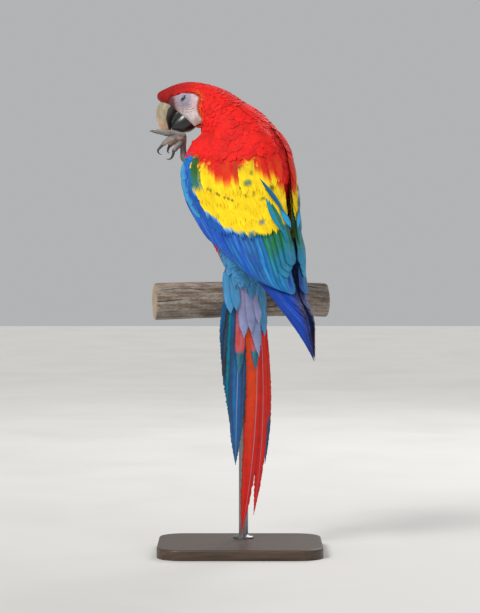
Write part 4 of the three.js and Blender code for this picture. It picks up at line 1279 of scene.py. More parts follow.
def flight_feathers(seed):
    """The left wing's long feathers, row by row from the innermost layer out, with colours."""
    s = shares(PRIMARIES)
    roots = columns(0.41, mix(0.12, 0.5, s))
    tip_v = mix(1.0, 0.76, s**1.3)
    tip_v[0] = 0.97
    tips = columns(tip_v, mix(0.45, 0.92, s**0.6))
    height = mix(-9.4, -1.3, s)[:, None]
    row = flight_row(roots, tips, mix(10, 11, s), mix(13, 17, s), height, seed, vane=blade_vane)
    colours = webs(row, BLUE * [0.6, 0.75, 0.95], VIOLET * 0.3, VIOLET * 0.25, 0.85)
    yield row, highlight_streaked(colours, row, 0.12, BLUE * 1.6, 0.3)

    s = shares(7)
    roots = columns(mix(0.25, 0.31, s), mix(0.03, 0.2, s))
    tips = columns(mix(0.46, 0.58, s), mix(-0.03, 0.17, s))
    height = columns(mix(-3.5, -2.5, s), mix(0.4, 0.9, s))
    row = flight_row(roots, tips, 8.0, 10.0, height, seed + 1, lift=2.2, climb=0.7, rows=tip_rows(40))
    yield row, highlight_streaked(webs(row, BLUE * 1.25, BLUE * 0.8, BLUE), row, 0.08, PALE_BLUE, 0.25)

    s = shares(SECONDARIES)
    roots = columns(0.37, mix(0.26, 0.8, s))
    tips = columns(mix(0.60, 0.69, s**0.6), mix(0.25, 0.84, s))
    row = flight_row(roots, tips, 12.0, 16.0, [[-6, 0.1]], seed + 2, lift=4.6, climb=0.6)
    greener = ramp(0.25, 0.9, s)[:, None, None, None]
    colours = webs(row, BLUE * 1.15, BLUE * 0.7, BLUE * 0.9)
    inner_colours = webs(row, mix(BLUE, TEAL, 0.6) * 1.2, BLUE * 0.8, mix(BLUE, SKY, 0.4))
    yield row, highlight_streaked(mix(colours, inner_colours, 0.85 * greener), row, 0.14, SKY, 0.5)

    s = shares(TERTIALS)
    roots = columns(0.33, mix(0.70, 0.91, s))
    tips = columns(mix(0.64, 0.56, s), mix(0.78, 0.94, s))
    height = columns(-5, mix(1.6, 5.2, s))
    row = flight_row(roots, tips, 11.0, 12.0, height, seed + 3, lift=3.0, climb=0.7, rows=tip_rows(50))
    colours = webs(row, GREEN * [0.8, 1.25, 2.0], GREEN * 1.1, TEAL)
    colours = mix(colours, mix(TEAL, SKY, 0.5), ramp(0.5, 0.85, row.t)[:, None, None])
    yield row, highlight_streaked(colours, row, 0.08, SKY, 0.3)

    roots, tips, half, height = np.split(SCAPULARS, [2, 4, 5], axis=1)
    form = {"lift": 0.8, "climb": 0.8, "rows": shares(40), "vane": leaf_vane}
    row = flight_row(roots, tips, half[:, 0], half[:, 0], height, seed + 3, **form)
    colours = webs(row, TEAL * [1, 1.15, 1.3], GREEN * [0.6, 1, 1.6], SKY * 0.8)
    # painted shade and painted highlight: the first scapular dark on one web and lighter towards the other
    colours[0] = mix(TEAL * [1, 0.42, 0.55], SKY * [0.1, 0.55, 0.7], ramp(-0.3, 0.9, row.u)[:, None])
    colours[1] = mix(TEAL * 0.9, SKY * [0.3, 1.25, 1.2], ramp(0.1, 0.5, row.t)[:, None, None])
    yellow = np.array([0.0, 0.0, 0.0, 1.0])[:, None, None] * ramp(0.50, 0.42, row.t)[:, None]
    yield row, highlight_streaked(blend(colours, YELLOW, yellow + 0 * row.u), row, 0.06, SKY, 0.25)

    s = shares(4)
    roots = columns(mix(0.17, 0.12, s), 0.05)
    tips = columns(mix(0.37, 0.24, s), 0.032)
    height = columns(-3.0, mix(1.4, 3.6, s))
    row = flight_row(roots, tips, 8.0, 9.0, height, seed + 4, lift=0.6, climb=0.7, rows=tip_rows(30))
    yield row, highlight_streaked(webs(row, SKY, BLUE * 1.2, SKY), row, 0.06, PALE_BLUE, 0.3)


def tail_row(froms, tos, outs, half, levels, seed, **form):
    """Feathers on the tail's sheet: `froms` and `tos` down it, `outs` (root, tip) to the left."""
    roots, tips = columns(froms, -outs[:, 0]), columns(tos, -outs[:, 1])
    return Feathers(on_tail, roots, tips, half, levels, seed, **form)


def tail_feathers(seed):
    """The twelve long tail feathers: two red ones on top, blue ones to the left, red to the right.

    blue_from is where along a feather its blue begins.
    """
    length, half, root, middle, tip = TAIL_FEATHERS.T
    level = 5.2 - 1.02 * np.arange(12)
    wide = np.where(np.arange(12) == 0, half * 1.35, half)
    narrow = half * np.array([0.6, 0.77] + [1.0] * 10)
    row = tail_row(
        30.0, length, columns(root, tip), wide, level[:, None], seed,
        rows=tip_rows(110, 1.2), cols=11, vane=pointed_vane, ragged=0.03, shaft=0.6, thick=0.45, patch=0.03,
        bend=(root + tip) / 2 - middle, inner=narrow,
    )
    t, u = row.t[:, None], row.u
    blue_from = np.array([2.0, 2.0, -0.5, 0.76, -0.5, 0.6, -0.5, 0.5, -0.5, 0.3, -0.5, 0.2])[:, None, None]
    blue = ramp(blue_from - 0.04, blue_from + 0.05, t + 0.03 * u)[..., None]
    # painted light: the top red feathers warmer orange on their left half, most towards the root, as if lit
    warm = (ramp(0.9, 0.2, t) * ramp(0.75, -0.3, u))[None, ..., None]
    warm = warm * np.array([0.75, 0.3] + [0.1] * 10)[:, None, None, None]
    red = mix(SCARLET * 0.95, mix(SCARLET, ORANGE, 0.6), warm)
    bright = ramp(0.2, -0.8, u)[:, None] + 0 * blue
    deep = mix(mix(BLUE, TEAL, 0.45) * 0.55, mix(TEAL, BLUE, 0.35) * 1.25, bright)
    brown = ramp(0.25, 0.45, u)[:, None] * ramp(0.9, 0.6, t)[..., None]
    deep = mix(deep, TAIL_BROWN, 0.7 * brown)
    bright_teal = mix(TEAL, BLUE, 0.5) * 1.2
    for i, tone in ((2, mix(TEAL, BLUE, 0.6)), (4, TEAL), (8, bright_teal), (10, bright_teal)):
        deep[i] = mix(deep[i], tone, 0.85)
    deep[6] = blend(deep[6], TAIL_BROWN, 0.85 * ramp(0.8, 0.7, t))
    dusky = np.sin(5.0 * u + 2.1 * np.arange(12)[:, None, None] + 0.7 * np.sin(3 * t))
    deep = blend(deep, TAIL_BROWN, 0.65 * ramp(0.3, 0.9, dusky))
    pale = np.where(blue > 0.5, SKY, ORANGE)
    return row, highlight_streaked(mix(red, deep, blue), row, 0.05, pale, 0.14)


# The form that all tail coverts share.
TAIL_COVERT = {"thick": 0.4, "camber": 0.5, "ragged": 0.04, "patch": 0.01, "vane": pointed_vane}


def tail_coverts(seed):
    """The coverts over the tail's root: the long upper ones, then tiers of shorter ones all round."""
    start, end, root, tip, half, level, kind = UPPER_COVERTS.T
    form = {"rows": tip_rows(50, 1.2), "cols": 9, **TAIL_COVERT}
    row = tail_row(start, end, columns(root, tip), half, columns(level - 2.5, level), seed, **form)
    kind = kind[:, None, None, None]
    across = (0.5 + 0.5 * row.u)[:, None] + 0 * row.t[:, None, None]
    lilac = mix(mix(LILAC, SCARLET, 0.10), PALE_BLUE, 0.6 * across)
    sky = mix(SKY, PALE_BLUE, 0.6 * across)
    teal_tip = ramp(0.70, 0.76, row.t)[:, None, None]
    red = mix(SALMON, TEAL * 0.8, teal_tip) + 0 * across
    base = np.where(kind == RED_TEAL, red, np.where(kind == LILAC_KIND, lilac, sky))
    yield row, highlight_streaked(base, row, 0.06, LILAC, 0.25)

    for count, start, end, level, spread, half, colour, other in (
        (8, -4, 60, 10.4, 34, 9.0, SKY, PALE_BLUE),
        (8, -12, 38, 11.6, 34, 8.5, SKY, TEAL),
        (6, 22, 132, -9.6, 22, 11.0, TEAL, BLUE),
        (7, 12, 96, -10.8, 27, 11.0, mix(TEAL, SKY, 0.4), TEAL),
        (8, 0, 66, -12.0, 30, 10.5, SKY, TEAL),
    ):
        seed += 1
        rng = default_rng(seed)
        out = np.linspace(-spread, spread, count) - 4 + rng.uniform(-2, 2, count)
        tip = end - 26 * ((out + 10) / spread) ** 2 + rng.uniform(-7, 7, count)
        fall = np.sign(level) * -2.5
        levels = columns(level + fall, level + 0.7 * rng.uniform(-1, 1, count))
        form = {"rows": tip_rows(28, 1.2), "cols": 7, **TAIL_COVERT}
        row = tail_row(start, tip, columns(0.75 * out, out), half, levels, seed, **form)
        share = 0.6 * rng.random((count, 1, 1, 1)) * np.abs(row.u)[:, None] + 0.3 * row.t[:, None, None] ** 2
        base = mix(colour, other, share) * shaded_root(row.t, 0.75, 1.05, 0, 0.6)
        yield row, highlight_streaked(base, row, 0.08, LILAC, 0.2)


def tail_unwrap(roots, layer):
    """Flat places of tail feathers: by how far out they grow, and by layer."""
    return columns(0.5 - roots[:, 1] / 90, 0.08 + 0.075 * layer)


# --- legs and feet
def tube_sheet(points, radii):
    """A sheet round a smooth path: a runs along it from 0 to 1 and b is the angle round it."""
    radii = np.reshape(radii, (-1, 1))

    def at(a, b):
        a, b = np.broadcast_arrays(a, b)
        heading = heading_along(points, a, 0.02)
        side = unit(np.cross(heading, [0.35, -0.25, 0.1]))
        return around(along(points, a), along(radii, a)[..., 0], side, np.cross(side, heading), b)

    return at


def thigh_feathers(side, seed):
    """The thigh's skin and its coat of short red feathers, which lie towards the ankle."""
    points, radii = THIGHS[side]
    sheet = tube_sheet(points, radii)
    a, b = grid(shares(40), turns(48))
    skin = tube_sheet(points, np.array(radii) - 3.5)(a, b)
    roots = rows_on(sheet, (0.08, 0.93), (0, 2 * np.pi), (4.4, 5.6), seed, closed=True)
    rng = default_rng(seed)
    reach = mix(20, 11, roots[:, 0]) * rng.uniform(0.8, 1.2, len(roots)) / length_of(points)
    ends = np.minimum(roots[:, 0] + reach, rng.uniform(0.9, 1.0, len(roots)))
    tips = columns(ends, roots[:, 1] + 0.05 * rng.standard_normal(len(roots)))
    over = 0.3 + mix(1.4, 0.8, roots[:, 0]) * rng.random(len(roots))
    height = columns(over_body(sheet(*roots.T)) - 2.0, over_body(sheet(*tips.T)) + over)
    half = mix(6.2, 3.2, roots[:, 0])
    coat = Feathers(sheet, roots, tips, half, height, seed, rows=tip_rows(8), camber=0.4, **SMALL)
    base = np.broadcast_to(SCARLET, (len(roots), 8, 5, 3)) * shaded_root(coat.t, 0.6, 1.05, 0.1, 0.85)
    places = columns(roots[:, 1] / 6.4 * 0.4 + 0.02, roots[:, 0] * 0.9 + 0.05)
    return skin, coat, varied(base, rng), places


def on_perch(x, angle, swell=0.0):
    """A point in mm on the branch, x along it and angle round it from the far side upwards.

    Its radius tapers, waves by two slow sines and swells at one knot; its middle rises 3 mm.
    """
    x, angle = np.broadcast_arrays(x, angle)
    t = x / PERCH_LENGTH + 0.5
    wave = 0.5 * np.sin(3 * angle + 4 * t) + 0.4 * np.sin(5 * angle - 7 * t)
    turned = (angle + np.pi) % (2 * np.pi) - np.pi
    knot = 3 * np.exp(-(((x - 98) / 22) ** 2) - ((turned - 0.6) / 0.7) ** 2)
    radius = PERCH_RADIUS + mix(1.5, -1.5, t) + wave + knot + swell
    rise = 3 * np.sin(np.pi * t) - 3
    return to_perch(columns(x, radius * np.cos(angle), rise + radius * np.sin(angle)))


def to_perch(local):
    """Points given along, across and above the branch's middle, in the row's frame."""
    turn = math.radians(PERCH_TURN)
    x, y, z = np.moveaxis(local, -1, 0)
    level = columns(x * math.cos(turn) - y * math.sin(turn), x * math.sin(turn) + y * math.cos(turn), z)
    return level + PERCH_CENTRE


def standing_toe(offset, spread, reach):
    """The path of a toe that grips the branch, its claw's points and the way its pad faces."""
    angle = np.radians(mix(4 * np.sign(reach), reach, shares(6)))
    radius = PERCH_RADIUS + 5.2
    path = to_perch(
        columns(offset + spread * shares(6), radius * np.sin(angle), radius * np.cos(angle))
    )
    turn = np.radians(reach + np.sign(reach) * np.array([6, 15, 25]))
    far = PERCH_RADIUS + np.array([6.6, 6.0, 4.2])
    claw = to_perch(columns(np.full(3, offset + spread), far * np.sin(turn), far * np.cos(turn)))
    inward = -np.array([0, math.sin(math.radians(reach * 0.6)), math.cos(math.radians(reach * 0.6))])
    return path, claw, inward


def toe_rings(path, inward, sides=28, rows=44):
    """Rings of a toe: pads bulge on the side that `inward` gives, and scutes cross the other.

    The radius shrinks to the tip, with a bulge at each joint; pads add the square of the cosine of
    the angle from `inward`, and scutes add the root of a sine along the toe's length.
    """
    t = shares(rows)
    middle = along(path, t)
    heading = heading_along(path, t)
    down = unit(inward - (heading @ inward)[:, None] * heading)
    side = np.cross(heading, down)
    angle = turns(sides)
    joint = 0.45 * np.cos(t * 6 * 2.1)
    radius = (mix(5.4, 4.0, t) + joint)[:, None] + 0 * angle
    radius = radius + 1.5 * np.clip(np.cos(angle), 0, 1) ** 2 * (0.2 + 0.8 * np.sin(t * 11) ** 2)[:, None]
    back = np.clip(-np.cos(angle) + 0.3, 0, 1)
    radius = radius + 0.6 * back * (np.abs(np.sin(np.pi * t * length_of(path) / 2.7)) ** 0.6)[:, None]
    radius = radius - 0.25 * back
    radius = radius * np.sqrt(1 - 0.72 * np.clip((t - 0.8) / 0.2, 0, 1) ** 2)[:, None]
    return around(middle[:, None], radius, down[:, None], side[:, None], angle), down


def claw_rings(path, claw, sides=20, rows=26):
    """Rings of a claw from inside the toe's end to its point, each narrower than the last."""
    path = np.asarray(path, float)
    start = path[-1] - 2.0 * unit(path[-1] - path[-2])
    line = np.concatenate([[start], [path[-1]], claw])
    t = shares(rows)
    heading = heading_along(line, t)
    side = unit(np.cross(heading, [0.3, 1.0, 0.2]))
    other = np.cross(heading, side)
    radius = 3.3 * (1 - t**1.6) + 0.25
    middle = along(line, t)[:, None]
    return around(middle, radius[:, None], 0.85 * side[:, None], other[:, None], turns(sides))


def fused(name, parts):
    """One closed mesh object from several overlapping tubes, fused by a voxel remesh and ironed."""
    points, faces, start = [], [], 0
    for part_points, part_faces in parts:
        points.append(part_points)
        faces.append(part_faces + start)
        start += len(part_points)
    piece = merged(mesh_piece(name, np.concatenate(points), np.concatenate(faces)))
    remesh = piece.modifiers.new("fuse", "REMESH")
    remesh.mode, remesh.voxel_size, remesh.use_smooth_shade = "VOXEL", 0.5 * MM, True
    ironed = piece.modifiers.new("iron", "SMOOTH")
    ironed.factor, ironed.iterations = 0.5, 2
    old, graph = piece.data, bpy.context.evaluated_depsgraph_get()
    piece.data = bpy.data.meshes.new_from_object(piece.evaluated_get(graph))
    piece.modifiers.clear()
    bpy.data.meshes.remove(old)
    piece.data.name = name
    return piece


# --- bill and eyes
def bill_rings(sections, rows, sides, ridges=0.0):
    """Rings of half a bill: an ellipse about each chord, with faint growth ridges along it."""
    t = shares(rows)
    a0, u0, a1, u1, half = np.moveaxis(along(sections, t), -1, 0)
    outer, inner = in_head(a0, 0, u0), in_head(a1, 0, u1)
    angle = turns(sides)
    middle, reach = (outer + inner) / 2, (outer - inner) / 2
    grow = 1 + ridges * (np.sin(t * 46) + 0.6 * np.sin(t * 97 + 1))[:, None] * np.clip(np.cos(angle), 0, 1)
    side = left_of(HEAD_TURN)
    return (
        middle[:, None]
        + reach[:, None] * (grow * np.cos(angle))[..., None]
        + side * (half[:, None] * grow * np.sin(angle))[..., None]
    ), t, angle


def find_on_head(ahead, up, hand):
    """Where (s, angle) on the body a point of the head's side lies, by damped Newton steps."""
    ahead, up = np.broadcast_arrays(ahead, up)
    s = np.full(ahead.shape, 11.0)
    angle = np.full(ahead.shape, 1.5 * hand)
    for _ in range(12):
        tries = ((0, 0), (EVEN_STEP, 0), (0, EVEN_STEP))
        here, *moved = (np.array(head_places(on_body(s + ds, angle + da))[::2]) for ds, da in tries)
        f = here - [ahead, up]
        js, ja = ((place - here) / EVEN_STEP for place in moved)
        det = js[0] * ja[1] - js[1] * ja[0]
        det = np.where(np.abs(det) < 1e-3, 1e-3, det)
        s = np.clip(s - 0.7 * (f[0] * ja[1] - f[1] * ja[0]) / det, HEAD_FROM, 13.9)
        angle = angle - 0.7 * (js[0] * f[1] - js[1] * f[0]) / det
    return s, angle


def eyeball(hand):
    """Rings of the eye from its front to its back, with the colour of each: pupil, an iris darkened by
    painted shade, rim.
    """
    polar = np.linspace(0.0, np.pi, 40)
    angle = turns(48)
    radius = EYE_RADIUS - 0.4
    middle = in_head(EYE_AHEAD, hand * (EYE_SIDE + radius * np.cos(polar)), EYE_UP)
    rings = around(middle[:, None], radius * np.sin(polar)[:, None], ahead_of(HEAD_TURN), UP, angle)
    colours = blend(SHADED_IRIS_INNER, SHADED_IRIS_OUTER, ramp(0.48, 0.7, polar))
    colours = blend(PUPIL, colours, ramp(0.46, 0.50, polar))
    colours = blend(colours, EYE_RIM, ramp(0.66, 0.72, polar))
    return rings, np.repeat(colours[:, None], len(angle), 1)


def eyelids(hand):
    """Rings of the half-shut lids: from a slanting slit over the eye out to the face's skin.

    The lid stands above the face by a low dome with three fine creases round it, and its inner
    edge turns in to the eye.
    """
    angle = turns(72)
    slit = columns(6.4 * np.cos(angle), 2.5 * np.sin(angle) * np.abs(np.sin(angle)) ** 0.35)
    slant = np.array([[0.58, -0.81], [0.81, 0.58]])
    slit = slit @ slant
    outer = 11.5 * columns(np.cos(angle), np.sin(angle)) @ slant
    t = np.concatenate([[0, 0], shares(22)])
    spread = mix(slit, outer, (t**0.9)[:, None, None])
    ahead, up = EYE_AHEAD + spread[..., 0], EYE_UP + spread[..., 1]
    s, round_body = find_on_head(ahead, up, hand)
    skin, normal, _ = frame_of(on_body, s, round_body)
    far = np.hypot(spread[..., 0], spread[..., 1])
    dome = 2.3 * np.clip(1 - (far / 11.5) ** 2, 0, 1) ** 1.3
    crease = 0.22 * np.sin(far * 2.5) * ramp(0, 0.15, t)[:, None] * ramp(1.0, 0.7, t)[:, None]
    height = dome + crease - 0.9
    height[0] -= 2.6
    height[1] -= 0.7
    height[-1] -= 0.8
    rings = skin + normal * height[..., None]
    base = bare_colours(rings)
    rim = ramp(0.16, 0.0, t)[:, None, None]
    colours = mix(mix(base, BARE_GREY * 1.15, 0.35), LID_EDGE, 0.8 * rim)
    # painted shade: the lids darker in rings at the spacing of their creases
    return rings, colours * (1 - 0.12 * np.cos(far * 2.5))[..., None]


def face_lines(hand, seed):
    """Rows of tiny dark red feathers on the bare face, below and ahead of the eye."""
    rng = default_rng(seed)
    roots, tips = [], []
    for start_up, sag, count, begin, end in (
        (-7.0, 2.0, 15, 17.0, -14.0),
        (-10.0, 2.5, 16, 14.0, -20.0),
        (-13.5, 2.5, 15, 10.0, -23.0),
        (-17.5, 2.0, 12, 4.0, -24.0),
        (-3.5, 1.0, 6, 18.0, 11.0),
        (0.5, 0.5, 5, 19.0, 12.0),
    ):
        t = (np.arange(count) + 0.4 * rng.random(count)) / count
        ahead = mix(begin, end, t)
        up = start_up - sag * np.sin(np.pi * t) + 0.4 * rng.standard_normal(count) + 2.2 * t
        roots.append([ahead, up])
        tips.append([ahead - rng.uniform(1.6, 3.2, count), up - 0.5 - 0.9 * rng.random(count)])
    root, tip = (columns(*find_on_head(*np.concatenate(ends, axis=1), hand)) for ends in (roots, tips))
    half = rng.uniform(0.32, 0.6, len(root))
    form = {"rows": tip_rows(5), "thick": 0.25, "camber": 0.1}
    lines = Feathers(on_body, root, tip, half, [[-1.0, 0.0]], seed, **form)
    return lines, varied(np.broadcast_to(MAROON * 1.1, (len(root), 5, 3, 3)), rng), body_unwrap(root)


def foot(name, toes, shank):
    """A fused foot from its toes and shank, coloured grey with tan pads by how it faces its toes.

    Each point's pad share is the cosine between its way out from the nearest toe and that toe's
    pad side.
    """
    parts, middles, downs = [], [], []
    for path, _, inward in toes:
        rings, down = toe_rings(path, inward)
        parts.append(closed_tube(rings))
        middles.append(rings.mean(axis=1))
        downs.append(down)
    path, radii = shank
    sheet = tube_sheet(path, radii)
    a, b = grid(shares(50), turns(32))
    scutes = 0.35 * np.abs(np.sin(a * 34 + 0.8 * np.round(np.sin(b)))) ** 0.5
    rings = sheet(a, b)
    centre = rings.mean(axis=1, keepdims=True)
    parts.append(closed_tube(rings + unit(rings - centre) * scutes[..., None]))
    theta, phi = grid(np.linspace(0.01, np.pi - 0.01, 16), turns(24))
    ball = columns(np.sin(theta) * np.cos(phi), np.sin(theta) * np.sin(phi), np.cos(theta))
    parts.append(closed_tube(path[-1] + 7.2 * ball))
    piece = fused(name, parts)
    count = len(piece.data.vertices)
    points = np.empty(count * 3)
    piece.data.vertices.foreach_get("co", points)
    points = points.reshape(-1, 3) / MM
    middles, downs = np.concatenate(middles), np.concatenate(downs)
    nearest = ((points[:, None] - middles) ** 2).sum(-1).argmin(1)
    gap = points - middles[nearest]
    pad = ramp(0.25, 0.75, (unit(gap) * downs[nearest]).sum(-1) + 0.15 * soft_noise(points, 4, 9))
    on_toes = (gap**2).sum(-1) < 64
    colours = mix(FOOT_GREY, FOOT_TAN, (pad * on_toes)[:, None])
    paint(piece.data, colours * (1 + 0.14 * soft_noise(points, 5, 10))[:, None])
    return piece


def upper_bill():
    """The hooked upper bill: tan horn with growth ridges, a paler band that is a painted highlight, a dark
    base corner and two nostrils painted dark as shade.
    """
    rings, t, angle = bill_rings(UPPER_BILL, 170, 120, 0.0035)
    ahead, side, up = head_places(rings)
    nostril = np.exp(-(((ahead - 43) / 2.4) ** 2) - ((np.abs(side) - 9.5) / 2.4) ** 2 - ((up - 3) / 2.4) ** 2)
    middle = rings.mean(axis=1, keepdims=True)
    rings = rings - unit(rings - middle) * (2.6 * nostril)[..., None]
    edge = mix(-0.2, -0.62, ramp(0.05, 0.55, t))[:, None]
    inner = ramp(edge + 0.12, edge - 0.12, np.cos(angle)[None]) * ramp(0.95, 0.75, t)[:, None]
    streak = soft_noise(rings * [1, 1, 0.35], 7, 11)
    colours = blend(HORN, HORN * [0.86, 0.84, 0.86], ramp(-0.4, 0.8, streak))
    # painted highlight: a paler pinkish band towards the bill's tip
    warm = ramp(0.45, 0.66, t) * ramp(1.02, 0.8, t)
    colours = blend(colours, HORN * [1.6, 1.25, 1.2], 0.8 * warm[:, None] + 0 * inner)
    colours = blend(colours, BILL_BLACK * 1.6, 0.95 * ramp(0.3, 0.6, inner + 0.08 * streak))
    # painted shade: the nostrils' hollows nearly black
    colours = blend(colours, MAROON * 0.25, nostril)
    return rings, np.clip(colours, 0, 1)


def tongue():
    """The blunt black tongue, which fills the mouth between both halves of the bill."""
    rings = bill_rings(TONGUE, 50, 60)[0]
    ripple = 1 + 0.4 * soft_noise(rings, 5, 14)
    return rings, BILL_BLACK * 1.5 * ripple[..., None]


def lower_bill():
    """The short lower bill: glossy black, paler towards its tip on the outer edge."""
    rings, t, angle = bill_rings(LOWER_BILL, 90, 96, 0.003)
    paler_edge = ramp(0.86, 1.0, t)[:, None] * (0.5 + 0.5 * np.cos(angle))
    return rings, blend(BILL_BLACK, BILL_BLACK * 5, paler_edge)


def branch():
    """The cut branch: a bark-less weathered tube with grooves along it, and ringed cut ends; its cracks and
    the split in each end are painted dark as shade.

    The grooves are sines of the angle whose phase drifts along the branch; the ends' growth rings
    are a sine of the distance from their middle.
    """
    x, angle = grid(np.linspace(-PERCH_LENGTH / 2, PERCH_LENGTH / 2, 280), turns(200))
    drift = 0.5 * np.sin(x / 37) + 0.3 * np.sin(x / 15 + 2)
    groove = np.sin(23 * angle + 3 * drift) * np.sin(7 * angle - 2 * drift + x / 60)
    crack = np.clip(np.sin(9 * angle + 2.5 * drift + x / 90) - 0.93, 0, 1) / 0.07
    crack = crack * ramp(0.1, 0.6, np.sin(x / 31 + 2 * angle))
    bevel = ramp(0, 2.5, PERCH_LENGTH / 2 - np.abs(x))
    swell = 0.35 * groove - 1.3 * crack - 1.6 * (1 - bevel) ** 2
    sides = on_perch(x, angle, swell)
    tone = soft_noise(sides * [0.25, 1, 1], 16, 12) * 0.5 + 0.5 * groove
    colours = blend(WOOD_GREY, WOOD_BROWN, ramp(-0.9, 1.0, tone))
    # painted shade: the cracks nearly black
    colours = blend(colours, WOOD_BROWN * 0.2, 0.9 * np.clip(crack, 0, 1))
    ends, shades = [], []
    for ring in (sides[0], sides[-1]):
        middle = ring.mean(axis=0)
        share = shares(44)[1:, None, None]
        disc = mix(ring, middle, share)
        far = np.linalg.norm(disc - middle, axis=-1)
        rings_tone = 0.5 + 0.5 * np.sin(far * 3.4 + 0.8 * np.sin(3 * angle[0]))
        split = np.exp(-(((angle[0] - 2.0 - far / 60) % PHASES / 0.05) ** 2)) * ramp(4, 26, far)
        shade = blend(WOOD_END * 0.72, WOOD_END, rings_tone)
        # painted shade: a radial split in each cut end nearly black
        shades.append(blend(shade, WOOD_BROWN * 0.2, split))
        ends.append(disc)
    rings = np.concatenate([ends[0][::-1], sides, ends[1]])
    tones = np.concatenate([shades[0][::-1], colours, shades[1]])
    return rings, tones


def wing_flesh():
    """Points, faces and colours of the folded wing's flesh: a slab under the sheet.

    Its outer face lies 4 mm and its inner face up to 11 mm below the sheet, and the two meet at
    the rim because both depths go to 3 mm there by the root of a sine.
    """
    v, c = np.linspace(-0.01, 0.5, 90), np.linspace(0.015, 0.985, 80)
    v_grid, c_grid = grid(v, c)
    points, normal, _ = frame_of(on_wing, v_grid, c_grid)
    along_v, along_c = (np.sqrt(np.sin(np.pi * shares(count))) for count in (len(v), len(c)))
    edge = along_v[:, None] * along_c
    outer = points - normal * (3 + 1.0 * edge)[..., None]
    inner = points - normal * (3 + 8.0 * edge)[..., None]
    rng = default_rng(3)
    # painted shade: the flesh carries the wing's colours at half brightness, dark in the gaps between
    # feathers
    colours = 0.5 * wing_colours(v_grid, c_grid, rng).reshape(-1, 3)
    faces = grid_faces(len(v), len(c))
    both = np.concatenate([outer, inner]).reshape(-1, 3)
    return both, np.concatenate([faces, faces[:, ::-1] + len(both) // 2]), np.tile(colours, (2, 1))


def tail_flesh():
    """The tail's fleshy root: a tapering tube round the bases of its long feathers."""
    t, angle = grid(shares(40), turns(60))
    down, wide = mix(-14, 62, t), mix(22, 17, t) * np.sqrt(np.clip(1 - (2 * t - 1) ** 6, 0.02, 1))
    sheet = on_tail(down, wide * np.sin(angle))
    normal = -ahead_of(TAIL_TURN)
    return sheet + normal * (mix(6.0, 2.5, t) * np.cos(angle) - 1.5)[..., None]


# --- what a user may change
class MacawPlumage(bpy.types.PropertyGroup):
    """Colours and sizes of the feathers."""

    scarlet: FloatVectorProperty(
        name="Scarlet", description="Colour of the body and upper wing", default=SCARLET.tolist(), **COLOUR
    )
    yellow: FloatVectorProperty(
        name="Yellow", description="Colour of the wing's middle coverts", default=YELLOW.tolist(), **COLOUR
    )
    blue: FloatVectorProperty(
        name="Blue", description="Colour of the flight feathers", default=BLUE.tolist(), **COLOUR
    )
    row_gap: FloatProperty(
        name="Row gap", description="Distance between rows of body feathers", default=0.0045, unit="LENGTH",
        min=0.003, max=0.02,
    )
    feather_gap: FloatProperty(
        name="Feather gap", description="Distance between feathers in a row", default=0.0068, unit="LENGTH",
        min=0.004, max=0.03,
    )
    feather_length: FloatProperty(
        name="Feather length", description="Length of a body feather", default=0.021, unit="LENGTH",
        min=0.01, max=0.05,
    )
    seed: IntProperty(name="Seed", description="Changes how the feathers fall", default=7, min=0)


class MacawHorn(bpy.types.PropertyGroup):
    """Colours of the bare parts."""

    bill: FloatVectorProperty(
        name="Bill", description="Colour of the upper bill", default=HORN.tolist(), **COLOUR
    )
    foot: FloatVectorProperty(
        name="Foot", description="Colour of the feet's scales", default=FOOT_GREY.tolist(), **COLOUR
    )


class MacawStand(bpy.types.PropertyGroup):
    """Sizes and colours of the branch and the stand."""

    base_width: FloatProperty(
        name="Base width", description="Size from left to right", default=BASE_SIZE[0], unit="LENGTH"
    )
    base_depth: FloatProperty(
        name="Base depth", description="Size from front to back", default=BASE_SIZE[1], unit="LENGTH"
    )
    base_height: FloatProperty(
        name="Base height", description="Thickness of the base", default=BASE_SIZE[2], unit="LENGTH"
    )
    rod_radius: FloatProperty(
        name="Rod radius", description="Radius of the steel rod", default=0.008, unit="LENGTH"
    )
    wood: FloatVectorProperty(
        name="Base wood", description="Colour of the base", default=(0.055, 0.032, 0.02), **COLOUR
    )


# --- the pieces
class MACAW_OT_skin(bpy.types.Operator):
    """Make the skin of the body, neck, head and thighs"""

    bl_idname = "macaw.skin"
    bl_label = "Make the skin"

    def execute(self, context):
        SCARLET[:] = context.scene.macaw_plumage.scarlet
        points, faces, colours = body_skin()
        skin = merged(mesh_piece("body_skin", points, faces, colours=colours))
        finish(skin, "skin", "scarlet_plumage", "torso", "neck", "head")
        for side in THIGHS:
            rings = thigh_feathers(side, 1)[0]
            # painted shade: the thigh's skin is half as bright as the scarlet, dark in the gaps between
            # feathers
            thigh = tube_piece(f"thigh_skin_{side}", rings, np.broadcast_to(SCARLET * 0.5, rings.shape))
            finish(thigh, "skin", "scarlet_plumage", f"thigh_{side}")
        return {"FINISHED"}


class MACAW_OT_coat(bpy.types.Operator):
    """Grow the small feathers of the body, neck, head and thighs"""

    bl_idname = "macaw.coat"
    bl_label = "Grow the coat"

    def execute(self, context):
        plumage = context.scene.macaw_plumage
        rows, gap, long = plumage.row_gap / MM, plumage.feather_gap / MM, plumage.feather_length / MM

        def size(s):
            return mix(1.0, 0.34, ramp(6.0, 12.5, s))

        stretches = (("head", 13.9, 9.4), ("neck", 9.7, 6.6), ("chest", 6.9, 3.2), ("belly", 3.4, -0.1))
        for name, top, bottom in stretches:
            coat = body_feathers(
                (top, bottom),
                lambda s: (rows * size(s), gap * size(s)),
                lambda s: long * size(s),
                lambda s: 0.6 * long * size(s),
                plumage.seed + len(name) * 10,
            )
            grow(f"coat_{name}", *coat, *COAT)
        back = draped_feathers(
            lambda s, angle: on_body(s, angle, 3.5), (7.7, 4.3), (-0.42, 0.42), 0, 1, plumage.seed + 50
        )
        grow("coat_back", *back[:2], body_unwrap(back[0].root), *COAT)
        for side in THIGHS:
            grow(f"coat_thigh_{side}", *thigh_feathers(side, plumage.seed + 60)[1:], *COAT)
        return {"FINISHED"}


